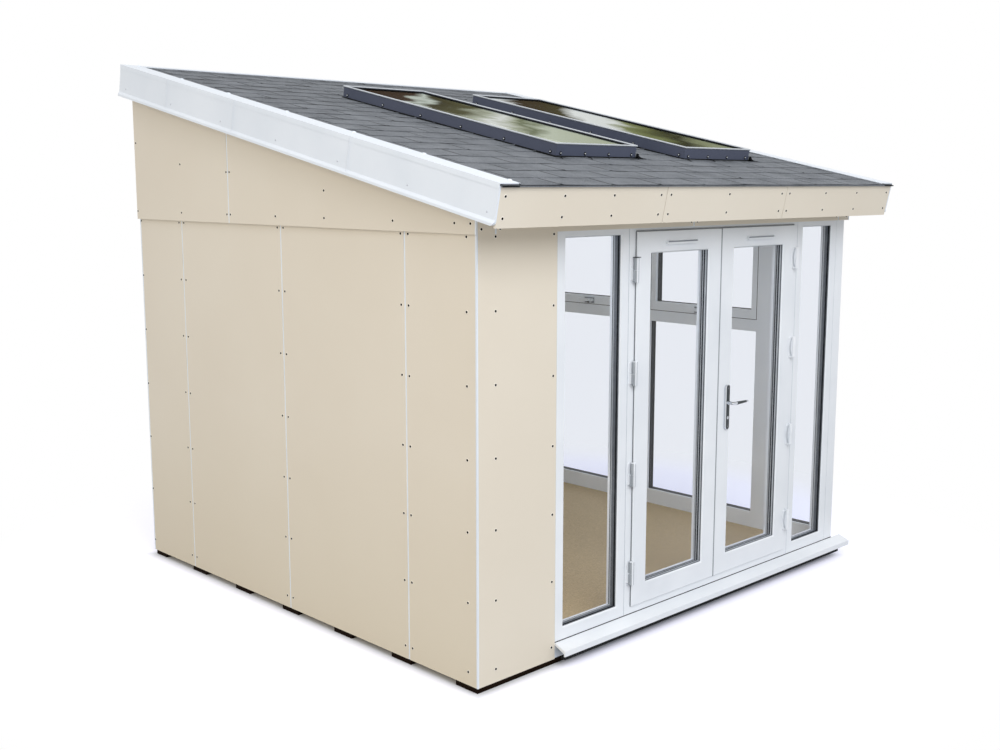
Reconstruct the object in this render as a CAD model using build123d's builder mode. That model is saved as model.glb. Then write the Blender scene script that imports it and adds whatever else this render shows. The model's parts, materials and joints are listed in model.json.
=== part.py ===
"""Garden office pod: a timber-panel room with a single-pitch roof, French doors and a glazed side.

Frame: millimetres, +Z up, ground at Z = 0. The doors face -Y, the glazed side faces +X, and the
origin is on the ground at the centre of the room's footprint, under the fourth floor bearer.
"""
import os
from math import cos, radians, sin, tan

from build123d import *

os.makedirs("parts", exist_ok=True)

# ---------------------------------------------------------------- overall sizes
pod_width = 3050.0             # left face to right face, over the cladding
pod_depth = 3000.0             # front face to back face, over the cladding
floor_level = 79.0             # ground to the top of the floor
fit = 0.3                      # gap between neighbouring pieces that only just clear each other
door_gap = 5.0                 # running gap round a moving door leaf

# ---------------------------------------------------------------- floor
bearer_height = 32.0
bearer_width = 150.0
rear_bearer_width = 119.0
bearer_count = 7
bearer_left_inset = 12.0       # bearer ends, in from the left face
bearer_right_reach = 9.0       # bearer ends, past the right face and under its cill
bearer_front_inset = 15.0      # front bearer, in from the front face
base_board_thickness = 4.0     # white boards that close the edge of the floor under the cills

# ---------------------------------------------------------------- walls
cladding_thickness = 12.0
core_thickness = 70.0          # insulated wall panel behind the cladding
board_pitch = 1010.0           # joint to joint
joint_width = 12.0             # white strip between two boards
joint_recess = 2.0             # strip face, in from the board face
band_level = 2109.0            # lower edge of the upper bands
band_thickness = 18.0          # upper bands stand this far in front of the boards
left_band_joint = 467.0        # the one joint in the left band, measured from the middle
header_joint_pitch = 1425.0
corner_trim_leg = 7.0
corner_trim_thickness = 1.5
pier_width = 511.0             # solid wall beside the glazing, front left and right rear

# ---------------------------------------------------------------- roof
roof_pitch = 12.0              # degrees
eaves_height = 2326.0          # ground to the top of the roofing at the front edge
front_overhang = 250.0
verge_overhang = 100.0         # side faces to the outer faces of the bargeboards
slope_length = 3290.0
covering_thickness = 8.0
deck_thickness = 150.0
drip_overhang = 6.0
drip_depth = 10.0
fascia_depth = 188.0
fascia_thickness = 12.0
fascia_joint_pitch = 1023.0
fascia_joint_width = 3.0
barge_depth = 179.0
barge_thickness = 9.0
barge_corner_radius = 20.0
barge_lip_height = 26.0        # lower edge kicked out, from its underside to where it starts
barge_lip_edge = 12.0          # upright part of the kick
barge_lip_reach = 8.0
cap_width = 120.0
cap_thickness = 4.0
cap_flange_depth = 20.0
cap_flange_thickness = 2.0
back_cap_width = 45.0
soffit_thickness = 10.0

# ---------------------------------------------------------------- skylights
skylight_width = 620.0
skylight_length = 1796.0
skylight_start = 649.0         # up the slope from the front edge to the lower side of the kerb
skylight_centres = (-315.5, 735.0)
skylight_height = 66.0         # kerb top above the roofing
kerb_wall = 50.0
kerb_skin = 4.0                # metal round the outside of the glass
kerb_lip = 14.0                # top flange of the kerb, seen from above
skylight_glass_thickness = 24.0
skylight_glass_recess = 6.0

# ---------------------------------------------------------------- glazed frames
frame_depth = 70.0
frame_bottom = 114.0           # ground to the underside of the frames
frame_top = 2138.0
stile_width = 60.0
bottom_rail = 67.0
top_rail = 60.0
frame_bevel = 6.0              # glazing edge bevel
frame_edge = 2.5               # bevel round the outside of every frame and leaf
post_radius = 4.0              # outer corner of the corner post
pane_thickness = 28.0
pane_setback = 22.0            # outer face of the frame to the outer face of the glass
pane_edge_cover = 12.0         # how far the glass goes into its groove
corner_post_width = 85.0       # along the front
corner_post_depth = 52.0       # along the side

# ---------------------------------------------------------------- front glazing
left_sidelight_width = 518.0
door_set_width = 1508.0
door_jamb_width = 48.0
door_head_height = 47.0        # door frame, top of the frame down to the leaves
door_sill_height = 44.0        # door frame, underside of the frame up to the leaves
leaf_thickness = 70.0
leaf_stand = 12.0              # leaf face in front of the frame face
leaf_flange = 7.0              # thickness of the leaf's overlapping edge
leaf_flange_width = 10.0       # how far the edge reaches past the leaf's body
leaf_stile = 113.0
leaf_bottom_rail = 110.0
leaf_top_rail = 109.0

# ---------------------------------------------------------------- door furniture
hinge_count = 4
hinge_pitch = 520.0
hinge_low = 343.0              # ground to the middle of the lowest hinge
hinge_height = 124.0
hinge_out = 20.0               # pin, in front of the frame face
hinge_side = 15.0              # pin, outside the leaf's edge
knuckle_radius = 13.0
knuckle_round = 4.0            # rounding of the knuckle's two ends
pin_radius = 5.0
hinge_frame_reach = 22.0       # pin to the far edge of the flap on the frame
hinge_leaf_reach = 20.0        # leaf's edge to the far edge of the flap on the leaf
hinge_flap_thickness = 6.0
hinge_flap_radius = 12.0
vent_length = 252.0
vent_height = 20.0
vent_depth = 14.0
vent_drop = 59.0               # top of the leaf to the middle of the vent
vent_slot_height = 8.0
vent_slot_depth = 8.0
vent_slot_rim = 2.0            # hood left above the slot
handle_plate_width = 34.0
handle_plate_height = 249.0
handle_plate_thickness = 13.0
handle_plate_round = 6.0
handle_inset = 73.5            # plate, in from the leaf's meeting edge
handle_height = 1109.0         # ground to the middle of the plate
spindle_rise = 26.0            # spindle, above the middle of the plate
spindle_radius = 6.0
spindle_collar_radius = 12.0
spindle_collar_depth = 8.0
lever_reach = 130.0            # spindle to the tip
lever_stand = 43.0             # plate to the centre line of the grip
lever_radius = 8.5
lever_tip_radius = 5.5
lever_bend = 14.0              # centre line radius where the neck turns into the grip
lever_tip_round = 4.0
cylinder_drop = 58.0           # lock cylinder, below the middle of the plate
cylinder_radius = 8.5
cylinder_stand = 3.0

# ---------------------------------------------------------------- right side glazing
front_window_width = 450.0
transom_level = 1380.0         # ground to the underside of the fixed transom
transom_height = 77.0
sash_bar = 41.0
sash_bottom_bar = 61.0
sash_stand = 8.0               # sash face in front of the frame face
window_handle_length = 118.0
window_handle_base = 60.0
window_handle_width = 20.0
window_handle_neck = 24.0
window_handle_grip = 12.0

# ---------------------------------------------------------------- cill
cill_reach = 70.0              # nose in front of the frames
cill_nose = 27.0
cill_nose_drop = 27.0          # fall of the top from the frame to the nose
cill_horn = 99.0               # front cill, past the right face
cill_plate = 12.0              # thickness of the sloping top, upright
cill_lip = 8.0                 # thickness of the hanging nose

# ---------------------------------------------------------------- worked out once
half_width = pod_width / 2
half_depth = pod_depth / 2
pitch = radians(roof_pitch)
slope_tangent = tan(pitch)
eaves_y = -half_depth - front_overhang
roof_half_width = half_width + verge_overhang
core_face = cladding_thickness
core_back = cladding_thickness + core_thickness
front_glazing_left = -half_width + pier_width
door_set_left = front_glazing_left + left_sidelight_width
door_set_right = door_set_left + door_set_width
corner_post_left = half_width - corner_post_width
right_glazing_rear = half_depth - pier_width
front_window_rear = -half_depth + corner_post_depth + front_window_width
wide_window_width = (right_glazing_rear - front_window_rear) / 2


def slope_height(y, depth):
    """Height at y of the plane that lies depth below the top of the roofing, square to the slope."""
    return eaves_height + (y - eaves_y) * slope_tangent - depth / cos(pitch)


def on_slope(depth):
    """Sketch plane in the slope: x to the right, y up the slope, depth below the roofing's top."""
    normal = (0, -sin(pitch), cos(pitch))
    point = (0, eaves_y + depth * sin(pitch), eaves_height - depth * cos(pitch))
    return Plane(origin=point, x_dir=(1, 0, 0), z_dir=normal)


def beside_slope(x):
    """Sketch plane at x, looking along -X: x up the slope, y square to it and upwards."""
    return Plane(origin=(x, eaves_y, eaves_height), x_dir=(0, cos(pitch), sin(pitch)), z_dir=(1, 0, 0))


def front_plane(y):
    """Upright sketch plane at y, facing -Y: x to the right, y up."""
    return Plane(origin=(0, y, 0), x_dir=(1, 0, 0), z_dir=(0, -1, 0))


def side_plane(x):
    """Upright sketch plane at x, facing +X: x towards the back, y up."""
    return Plane(origin=(x, 0, 0), x_dir=(0, 1, 0), z_dir=(1, 0, 0))


def patch(left, right, low, high, mode=Mode.ADD):
    """A rectangle in the open sketch, given by its edges."""
    with Locations(((left + right) / 2, (low + high) / 2)):
        Rectangle(right - left, high - low, mode=mode)


def slab(left, right, front, back, low, high, mode=Mode.ADD):
    """An upright block in the open part, given by its faces."""
    with BuildSketch(Plane.XY.offset(low)) as footprint:
        patch(left, right, front, back)
    extrude(footprint.sketch, amount=high - low, mode=mode)


def under_roof(front, back, low, depth):
    """A side wall's outline in the open sketch: level below, cut to the roof's slope above."""
    with BuildLine() as outline:
        Polyline(
            (front, low),
            (back, low),
            (back, slope_height(back, depth)),
            (front, slope_height(front, depth)),
            close=True,
        )
    make_face(outline.edges())


def span(first, second):
    """The two edges, the lower one first."""
    return min(first, second), max(first, second)


def joints_along(start, end, centres, gap):
    """Stretches from start to end, broken by a gap at each centre."""
    edges = [start]
    for centre in centres:
        edges += [centre - gap / 2, centre + gap / 2]
    edges.append(end)
    return list(zip(edges[0::2], edges[1::2]))


def save(part, name):
    """Label a finished piece and write its STEP file."""
    part.label = name
    export_step(part, f"parts/{name}.step")


board_joints = (-board_pitch, 0.0, board_pitch)
under_deck = covering_thickness + deck_thickness

# ================================================================ floor
with BuildPart() as floor_bearers:
    first = -half_depth + bearer_front_inset
    last = half_depth - rear_bearer_width
    step = (last - first) / (bearer_count - 1)
    for number in range(bearer_count):
        wide = rear_bearer_width if number == bearer_count - 1 else bearer_width
        near = first + number * step
        slab(-half_width + bearer_left_inset, half_width + bearer_right_reach, near, near + wide,
             0, bearer_height)
save(floor_bearers.part, "floor_bearers")

with BuildPart() as floor_deck:
    slab(-half_width + core_face, half_width - core_face, -half_depth + core_face, half_depth - core_face,
         bearer_height, floor_level)
save(floor_deck.part, "floor_deck")

deck_front = -half_depth + core_face
deck_right = half_width - core_face
with BuildPart() as base_boards:
    board_right = deck_right + base_board_thickness
    slab(front_glazing_left, board_right, deck_front - base_board_thickness, deck_front,
         bearer_height, floor_level)
    slab(deck_right, board_right, deck_front + fit, right_glazing_rear, bearer_height, floor_level)
save(base_boards.part, "base_boards")

# ================================================================ wall panels
with BuildPart() as left_wall:
    with BuildSketch(side_plane(-half_width + core_face)):
        under_roof(-half_depth + core_back, half_depth - core_back, floor_level, under_deck)
    extrude(amount=core_thickness)
save(left_wall.part, "left_wall")

with BuildPart() as back_wall:
    with BuildSketch(side_plane(-half_width + core_face)):
        under_roof(half_depth - core_back, half_depth - core_face, floor_level, under_deck)
    extrude(amount=pod_width - 2 * core_face)
save(back_wall.part, "back_wall")

with BuildPart() as front_left_wall:
    with BuildSketch(side_plane(-half_width + core_face)):
        under_roof(-half_depth + core_face, -half_depth + core_back, floor_level, under_deck)
    extrude(amount=pier_width - core_face)
save(front_left_wall.part, "front_left_wall")

with BuildPart() as front_header:
    with BuildSketch(side_plane(front_glazing_left)):
        under_roof(-half_depth, -half_depth + core_back, frame_top, under_deck)
    extrude(amount=pod_width - pier_width)
save(front_header.part, "front_header")

with BuildPart() as right_rear_wall:
    with BuildSketch(side_plane(half_width - core_face)):
        under_roof(right_glazing_rear, half_depth - core_back, floor_level, under_deck)
    extrude(amount=-core_thickness)
save(right_rear_wall.part, "right_rear_wall")

with BuildPart() as right_header:
    with BuildSketch(side_plane(half_width)):
        under_roof(-half_depth + core_back, right_glazing_rear, frame_top, under_deck)
    extrude(amount=-core_back)
save(right_header.part, "right_header")

# ================================================================ cladding
with BuildPart() as left_cladding:
    for near, far in joints_along(-half_depth + core_face, half_depth, board_joints, joint_width):
        with BuildSketch(side_plane(-half_width)):
            under_roof(near, far, bearer_height, under_deck)
        extrude(amount=cladding_thickness)
save(left_cladding.part, "left_cladding")

with BuildPart() as left_upper_band:
    for near, far in joints_along(-half_depth, half_depth, (left_band_joint,), joint_width):
        with BuildSketch(side_plane(-half_width)):
            under_roof(near, far, band_level, under_deck)
        extrude(amount=-band_thickness)
save(left_upper_band.part, "left_upper_band")

with BuildPart() as back_cladding:
    for near, far in joints_along(-half_width + core_face, half_width - core_face, board_joints, joint_width):
        with BuildSketch(side_plane(near)):
            under_roof(half_depth - core_face, half_depth, bearer_height, under_deck)
        extrude(amount=far - near)
save(back_cladding.part, "back_cladding")

with BuildPart() as front_cladding:
    with BuildSketch(side_plane(-half_width)):
        under_roof(-half_depth, -half_depth + core_face, bearer_height, under_deck)
    extrude(amount=pier_width)
save(front_cladding.part, "front_cladding")

with BuildPart() as right_cladding:
    with BuildSketch(side_plane(half_width)):
        under_roof(right_glazing_rear, half_depth, bearer_height, under_deck)
    extrude(amount=-cladding_thickness)
save(right_cladding.part, "right_cladding")

with BuildPart() as right_upper_band:
    with BuildSketch(side_plane(half_width)):
        under_roof(-half_depth, half_depth, band_level, under_deck)
    extrude(amount=band_thickness)
save(right_upper_band.part, "right_upper_band")

header_joints = (-header_joint_pitch, 0.0, header_joint_pitch)
band_left = -half_width - band_thickness
band_right = half_width + band_thickness
with BuildPart() as header_band:
    for near, far in joints_along(band_left, band_right, header_joints, joint_width):
        with BuildSketch(side_plane(near)):
            under_roof(-half_depth - band_thickness, -half_depth, band_level, under_deck)
        extrude(amount=far - near)
save(header_band.part, "header_band")

strip_half = joint_width / 2
with BuildPart() as joint_strips:
    for centre in board_joints:
        with BuildSketch(side_plane(-half_width + core_face)):
            under_roof(centre - strip_half, centre + strip_half, bearer_height, under_deck)
        extrude(amount=-(cladding_thickness - joint_recess))
        with BuildSketch(side_plane(centre - strip_half)):
            under_roof(half_depth - core_face, half_depth - joint_recess, bearer_height, under_deck)
        extrude(amount=joint_width)
    with BuildSketch(side_plane(-half_width)):
        under_roof(left_band_joint - strip_half, left_band_joint + strip_half, band_level, under_deck)
    extrude(amount=-(band_thickness - joint_recess))
    for centre in header_joints:
        with BuildSketch(side_plane(centre - strip_half)):
            under_roof(-half_depth - band_thickness + joint_recess, -half_depth, band_level, under_deck)
        extrude(amount=joint_width)
save(joint_strips.part, "joint_strips")


def corner_angle(x, y, side, end):
    """Angle trim in the open sketch, wrapped round the outside corner at x, y."""
    across = x - side * corner_trim_leg
    along = y - end * corner_trim_leg
    outer_x = x + side * corner_trim_thickness
    outer_y = y + end * corner_trim_thickness
    patch(*span(across, outer_x), *span(y, outer_y))
    patch(*span(x, outer_x), *span(along, outer_y))


with BuildPart() as corner_trims:
    for side, end in ((-1, -1), (-1, 1), (1, 1)):
        with BuildSketch(Plane.XY.offset(bearer_height)):
            corner_angle(side * half_width, end * half_depth, side, end)
        extrude(amount=band_level - fit - bearer_height)
    band_front_y = -half_depth - band_thickness
    band_top = slope_height(band_front_y - corner_trim_thickness, under_deck + soffit_thickness) - fit
    for x, side in ((band_left, -1), (band_right, 1)):
        with BuildSketch(Plane.XY.offset(band_level)):
            corner_angle(x, band_front_y, side, -1)
        extrude(amount=band_top - band_level)
save(corner_trims.part, "corner_trims")

# ================================================================ roof
roof_end = roof_half_width - cap_flange_thickness
barge_inner = roof_end - barge_thickness
kerb_outline = [
    (centre - skylight_width / 2, centre + skylight_width / 2,
     skylight_start, skylight_start + skylight_length)
    for centre in skylight_centres
]


def grown(outline, growth):
    """The outline (left, right, low, high) moved outwards by growth on every side."""
    left, right, low, high = outline
    return left - growth, right + growth, low - growth, high + growth


with BuildPart() as roof_deck:
    with BuildSketch(on_slope(under_deck)):
        patch(-barge_inner, barge_inner, fascia_thickness, slope_length - fascia_thickness)
        for outline in kerb_outline:
            patch(*grown(outline, -kerb_wall), mode=Mode.SUBTRACT)
    extrude(amount=deck_thickness)
save(roof_deck.part, "roof_deck")

with BuildPart() as roof_covering:
    with BuildSketch(on_slope(covering_thickness)):
        patch(-roof_end, roof_end, -drip_overhang, slope_length)
        for outline in kerb_outline:
            patch(*outline, mode=Mode.SUBTRACT)
    extrude(amount=covering_thickness)
    with BuildSketch(on_slope(drip_depth)):
        patch(-roof_end, roof_end, -drip_overhang, 0)
    extrude(amount=drip_depth)
save(roof_covering.part, "roof_covering")

with BuildPart() as front_fascia:
    half_joint = fascia_joint_pitch / 2
    for near, far in joints_along(-barge_inner, barge_inner, (-half_joint, half_joint), fascia_joint_width):
        with BuildSketch(on_slope(fascia_depth)):
            patch(near, far, 0, fascia_thickness)
        extrude(amount=fascia_depth - covering_thickness)
save(front_fascia.part, "front_fascia")

with BuildPart() as back_fascia:
    with BuildSketch(on_slope(under_deck)):
        patch(-barge_inner, barge_inner, slope_length - fascia_thickness, slope_length)
    extrude(amount=deck_thickness)
save(back_fascia.part, "back_fascia")

with BuildPart() as roof_soffit:
    soffit_bottom = under_deck + soffit_thickness
    band_front = (-half_depth - band_thickness - eaves_y - soffit_bottom * sin(pitch)) / cos(pitch) - fit
    with BuildSketch(on_slope(soffit_bottom)):
        patch(-barge_inner, barge_inner, fascia_thickness, slope_length)
        patch(band_left - fit, band_right + fit, band_front, slope_length, mode=Mode.SUBTRACT)
    extrude(amount=soffit_thickness)
save(roof_soffit.part, "roof_soffit")


def barge_section():
    """Section of the left bargeboard in the open sketch: a board whose lower edge kicks outwards."""
    low = -barge_depth
    high = -covering_thickness
    with BuildLine() as outline:
        Polyline(
            (-barge_thickness, low),
            (-barge_thickness, high),
            (0, high),
            (0, low + barge_lip_height),
            (barge_lip_reach, low + barge_lip_edge),
            (barge_lip_reach, low),
            close=True,
        )
    make_face(outline.edges())


with BuildPart() as left_bargeboard:
    eaves_corner = (-roof_end, eaves_y, eaves_height)
    with BuildSketch(Plane(origin=eaves_corner, x_dir=(-1, 0, 0), z_dir=(0, cos(pitch), sin(pitch)))):
        barge_section()
    extrude(amount=slope_length)
    with BuildSketch(beside_slope(-roof_end - barge_lip_reach)) as side_outline:
        patch(0, slope_length, -barge_depth, -covering_thickness)
        fillet(side_outline.vertices().group_by(Axis.X)[0].sort_by(Axis.Y)[0], barge_corner_radius)
    extrude(amount=barge_lip_reach + barge_thickness, mode=Mode.INTERSECT)
save(left_bargeboard.part, "left_bargeboard")

with BuildPart() as right_bargeboard:
    mirror(left_bargeboard.part, about=Plane.YZ)
save(right_bargeboard.part, "right_bargeboard")

with BuildPart() as verge_caps:
    for side in (-1, 1):
        outer = side * roof_half_width
        inner = outer - side * cap_width
        with BuildSketch(on_slope(0)):
            patch(min(outer, inner), max(outer, inner), 0, slope_length)
        extrude(amount=cap_thickness)
        flange = outer - side * cap_flange_thickness
        with BuildSketch(on_slope(cap_flange_depth)):
            patch(min(outer, flange), max(outer, flange), 0, slope_length)
        extrude(amount=cap_flange_depth)
    cap_inner = roof_half_width - cap_width - fit
    with BuildSketch(on_slope(0)):
        patch(-cap_inner, cap_inner, slope_length - back_cap_width, slope_length)
    extrude(amount=cap_thickness)
save(verge_caps.part, "verge_caps")

# ================================================================ skylights
glass_top = skylight_height - skylight_glass_recess
for outline, name in zip(kerb_outline, ("left_skylight_kerb", "right_skylight_kerb")):
    with BuildPart() as kerb:
        with BuildSketch(on_slope(covering_thickness)):
            patch(*outline)
            patch(*grown(outline, -kerb_wall), mode=Mode.SUBTRACT)
        extrude(amount=covering_thickness + skylight_height)
        with BuildSketch(on_slope(-(glass_top - skylight_glass_thickness - fit))):
            patch(*grown(outline, fit - kerb_skin))
        extrude(amount=skylight_glass_thickness + 2 * fit, mode=Mode.SUBTRACT)
        with BuildSketch(on_slope(-glass_top)):
            patch(*grown(outline, -kerb_lip))
        extrude(amount=skylight_height - glass_top, mode=Mode.SUBTRACT)
    save(kerb.part, name)

with BuildPart() as skylight_glass:
    for outline in kerb_outline:
        with BuildSketch(on_slope(-(glass_top - skylight_glass_thickness))):
            patch(*grown(outline, -kerb_skin))
        extrude(amount=skylight_glass_thickness)
save(skylight_glass.part, "skylight_glass")


# ================================================================ glazed frames
def glazed_frame(plane, outline, lights, depth=frame_depth, bevel=frame_bevel):
    """Frame in the open part: bevelled outside, bevelled round each light, and grooved for the glass."""
    with BuildSketch(plane.offset(-frame_edge)) as body:
        patch(*outline)
    extrude(body.sketch, amount=frame_edge - depth)
    extrude(body.sketch, amount=frame_edge, taper=45)
    for light in lights:
        with BuildSketch(plane) as opening:
            patch(*light)
        extrude(opening.sketch, amount=-depth, mode=Mode.SUBTRACT)
    for light in lights:
        with BuildSketch(plane) as edge:
            patch(*grown(light, bevel))
        extrude(edge.sketch, amount=-bevel, taper=45, mode=Mode.SUBTRACT)
        with BuildSketch(plane.offset(fit - pane_setback)) as groove:
            patch(*grown(light, pane_edge_cover))
        extrude(groove.sketch, amount=-(pane_thickness + 2 * fit), mode=Mode.SUBTRACT)


def pane(plane, light):
    """Sealed glass unit in the open part, held by the groove round its light."""
    with BuildSketch(plane.offset(-pane_setback)) as sheet:
        patch(*grown(light, pane_edge_cover - fit))
    extrude(sheet.sketch, amount=-pane_thickness)


def light_in(left, right, low, high, side, bottom, top):
    """Opening of a frame given its outline and its bar widths."""
    return left + side, right - side, low + bottom, high - top


front_face = front_plane(-half_depth)
side_face = side_plane(half_width)

with BuildPart() as corner_post:
    post_back = -half_depth + corner_post_depth
    slab(corner_post_left, half_width, -half_depth, post_back, frame_bottom, frame_top)
    slab(corner_post_left, half_width - frame_depth, post_back, -half_depth + frame_depth,
         frame_bottom, frame_top)
    outer_edge = corner_post.edges().filter_by(Axis.Z).group_by(Axis.Y)[0].sort_by(Axis.X)[-1]
    fillet(outer_edge, post_radius)
save(corner_post.part, "corner_post")

sidelights = {
    "left_sidelight_frame": (front_glazing_left, door_set_left, frame_bottom, frame_top),
    "right_sidelight_frame": (door_set_right, corner_post_left, frame_bottom, frame_top),
}
for name, outline in sidelights.items():
    with BuildPart() as sidelight:
        glazed_frame(front_face, outline, [light_in(*outline, stile_width, bottom_rail, top_rail)])
    save(sidelight.part, name)

with BuildPart() as sidelight_glass:
    for outline in sidelights.values():
        pane(front_face, light_in(*outline, stile_width, bottom_rail, top_rail))
save(sidelight_glass.part, "sidelight_glass")

# ================================================================ doors
leaf_low = frame_bottom + door_sill_height
leaf_high = frame_top - door_head_height
leaf_middle = (door_set_left + door_set_right) / 2
left_leaf = (door_set_left + door_jamb_width, leaf_middle - door_gap / 2, leaf_low, leaf_high)
right_leaf = (leaf_middle + door_gap / 2, door_set_right - door_jamb_width, leaf_low, leaf_high)
both_leaves = (left_leaf[0], right_leaf[1], leaf_low, leaf_high)
leaf_front_y = -half_depth - leaf_stand
leaf_back_y = leaf_front_y + leaf_thickness
leaf_face = front_plane(leaf_front_y)

with BuildPart() as door_frame:
    glazed_frame(front_face, (door_set_left, door_set_right, frame_bottom, frame_top), [])
    with BuildSketch(front_face):
        patch(*grown(both_leaves, door_gap - leaf_flange_width))
    extrude(amount=-frame_depth, mode=Mode.SUBTRACT)
save(door_frame.part, "door_frame")

handle_x = right_leaf[0] + handle_inset
spindle_height = handle_height + spindle_rise
doors = {"left_door": left_leaf, "right_door": right_leaf}
for name, leaf in doors.items():
    high = leaf[3]
    light = light_in(*leaf, leaf_stile, leaf_bottom_rail, leaf_top_rail)
    with BuildPart() as door:
        glazed_frame(leaf_face, leaf, [light], depth=leaf_flange)
        with BuildSketch(leaf_face.offset(-leaf_flange)):
            patch(*grown(leaf, -leaf_flange_width))
            patch(*light, mode=Mode.SUBTRACT)
        extrude(amount=leaf_flange - leaf_thickness)
        with BuildSketch(leaf_face.offset(fit - pane_setback)):
            patch(*grown(light, pane_edge_cover))
        extrude(amount=-(pane_thickness + 2 * fit), mode=Mode.SUBTRACT)
        middle = (light[0] + light[1]) / 2
        vent_top = high - vent_drop + vent_height / 2
        vent = (middle - vent_length / 2, middle + vent_length / 2, vent_top - vent_height, vent_top)
        slot_top = vent_top - vent_slot_rim
        with BuildSketch(leaf_face):
            patch(*vent)
        extrude(amount=vent_depth)
        with BuildSketch(leaf_face.offset(vent_depth)):
            patch(vent[0] + vent_slot_rim, vent[1] - vent_slot_rim, slot_top - vent_slot_height, slot_top)
        extrude(amount=-vent_slot_depth, mode=Mode.SUBTRACT)
        if name == "right_door":
            with BuildSketch(leaf_face):
                with Locations((handle_x, spindle_height)):
                    Circle(spindle_radius + fit)
            extrude(amount=-leaf_thickness, mode=Mode.SUBTRACT)
    save(door.part, name)
    with BuildPart() as door_pane:
        pane(leaf_face, light)
    save(door_pane.part, f"{name}_glass")

# ================================================================ hinges
pin_y = -half_depth - hinge_out
hinge_levels = [hinge_low + number * hinge_pitch for number in range(hinge_count)]
pins = ((left_leaf[0] - hinge_side, -1), (right_leaf[1] + hinge_side, 1))


def pin_bar(x, low, high, radius, mode=Mode.ADD):
    """Upright cylinder on the hinge pin at x, in the open part."""
    with BuildSketch(Plane(origin=(x, pin_y, low))) as section:
        Circle(radius)
    extrude(section.sketch, amount=high - low, mode=mode)


def knuckle(x, low, high, domed_end):
    """Hinge barrel on the pin at x, in the open part, domed at its top (-1) or its bottom (0)."""
    with BuildPart(mode=Mode.PRIVATE) as barrel:
        pin_bar(x, low, high, knuckle_radius)
        ends = barrel.edges().filter_by(GeomType.CIRCLE).sort_by(Axis.Z)
        fillet(ends[domed_end], knuckle_round)
    add(barrel.part)


def flap(left, right, low, high, face):
    """Plate of a hinge that lies on the upright plane at y = face, in the open part."""
    corner = min(hinge_flap_radius, (right - left) / 2 - fit)
    with BuildSketch(front_plane(face)) as outline:
        with Locations(((left + right) / 2, (low + high) / 2)):
            RectangleRounded(right - left, high - low, corner)
    extrude(outline.sketch, amount=hinge_flap_thickness)


with BuildPart() as hinge_frame_halves:
    for x, side in pins:
        far = x + side * hinge_frame_reach
        for level in hinge_levels:
            low = level - hinge_height / 2
            high = level + hinge_height / 2
            flap(*span(x, far), low, high, -half_depth)
            slab(*span(x, far), pin_y, -half_depth, low + hinge_flap_radius, level - fit / 2)
            knuckle(x, low, level - fit / 2, 0)
            pin_bar(x, level - fit / 2, high - knuckle_radius, pin_radius)
save(hinge_frame_halves.part, "hinge_frame_halves")

for (x, side), name in zip(pins, ("left_door_hinges", "right_door_hinges")):
    near = x - side * (knuckle_radius + fit)
    far = x - side * (hinge_side + hinge_leaf_reach)
    with BuildPart() as leaf_halves:
        for level in hinge_levels:
            low = level - hinge_height / 2
            high = level + hinge_height / 2
            flap(*span(near, far), low, high, leaf_front_y)
            slab(*span(x, x - side * (hinge_side + hinge_flap_radius)), leaf_front_y - hinge_flap_thickness,
                 leaf_front_y, level + fit / 2, high - hinge_flap_radius)
            knuckle(x, level + fit / 2, high, -1)
            pin_bar(x, level, high - knuckle_radius + fit, pin_radius + fit, mode=Mode.SUBTRACT)
    save(leaf_halves.part, name)

# ================================================================ door handle
both_faces = ((leaf_front_y, -1), (leaf_back_y, 1))


def at_handle(y, height, outwards):
    """Sketch plane at y on the handle's centre line at the given height, facing outwards."""
    return Plane(origin=(handle_x, y, height), x_dir=(1, 0, 0), z_dir=(0, outwards, 0))


with BuildPart() as handle_plates:
    for face, outwards in both_faces:
        with BuildPart(mode=Mode.PRIVATE) as plate:
            with BuildSketch(at_handle(face, handle_height, outwards)):
                SlotOverall(handle_plate_height, handle_plate_width, rotation=90)
            extrude(amount=handle_plate_thickness)
            fillet(plate.faces().sort_by(Axis.Y)[0 if outwards < 0 else -1].edges(), handle_plate_round)
            with BuildSketch(at_handle(face, handle_height - cylinder_drop, outwards)):
                Circle(cylinder_radius)
            extrude(amount=handle_plate_thickness + cylinder_stand)
            with BuildSketch(at_handle(face, spindle_height, outwards)):
                Circle(spindle_radius + fit)
            extrude(amount=handle_plate_thickness, mode=Mode.SUBTRACT)
        add(plate.part)
save(handle_plates.part, "handle_plates")

with BuildPart() as door_lever:
    outer_y = leaf_front_y - handle_plate_thickness - fit
    inner_y = leaf_back_y + handle_plate_thickness + fit
    with BuildSketch(at_handle(inner_y, spindle_height, -1)):
        Circle(spindle_radius)
    extrude(amount=inner_y - outer_y)
    for start, outwards in ((outer_y, -1), (inner_y, 1)):
        neck_end = start + outwards * (lever_stand - lever_bend)
        grip_y = start + outwards * lever_stand
        with BuildSketch(at_handle(start, spindle_height, outwards)):
            Circle(spindle_collar_radius)
        extrude(amount=spindle_collar_depth)
        with BuildSketch(at_handle(start, spindle_height, outwards)):
            Circle(lever_radius)
        extrude(amount=lever_stand - lever_bend)
        with BuildSketch(at_handle(neck_end, spindle_height, outwards)):
            Circle(lever_radius)
        bend_centre = (handle_x + lever_bend, neck_end, spindle_height)
        revolve(axis=Axis(bend_centre, (0, 0, -outwards)), revolution_arc=90)
        grip_root = (handle_x + lever_bend, grip_y, spindle_height)
        grip_length = lever_reach - lever_bend
        with BuildSketch(Plane(origin=grip_root)) as half_grip:
            with BuildLine():
                Polyline((0, 0), (0, lever_radius), (grip_length, lever_tip_radius), (grip_length, 0),
                         close=True)
            make_face()
            fillet(half_grip.vertices().group_by(Axis.X)[-1].sort_by(Axis.Y)[-1], lever_tip_round)
        revolve(axis=Axis(grip_root, (1, 0, 0)))
save(door_lever.part, "door_lever")

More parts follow.
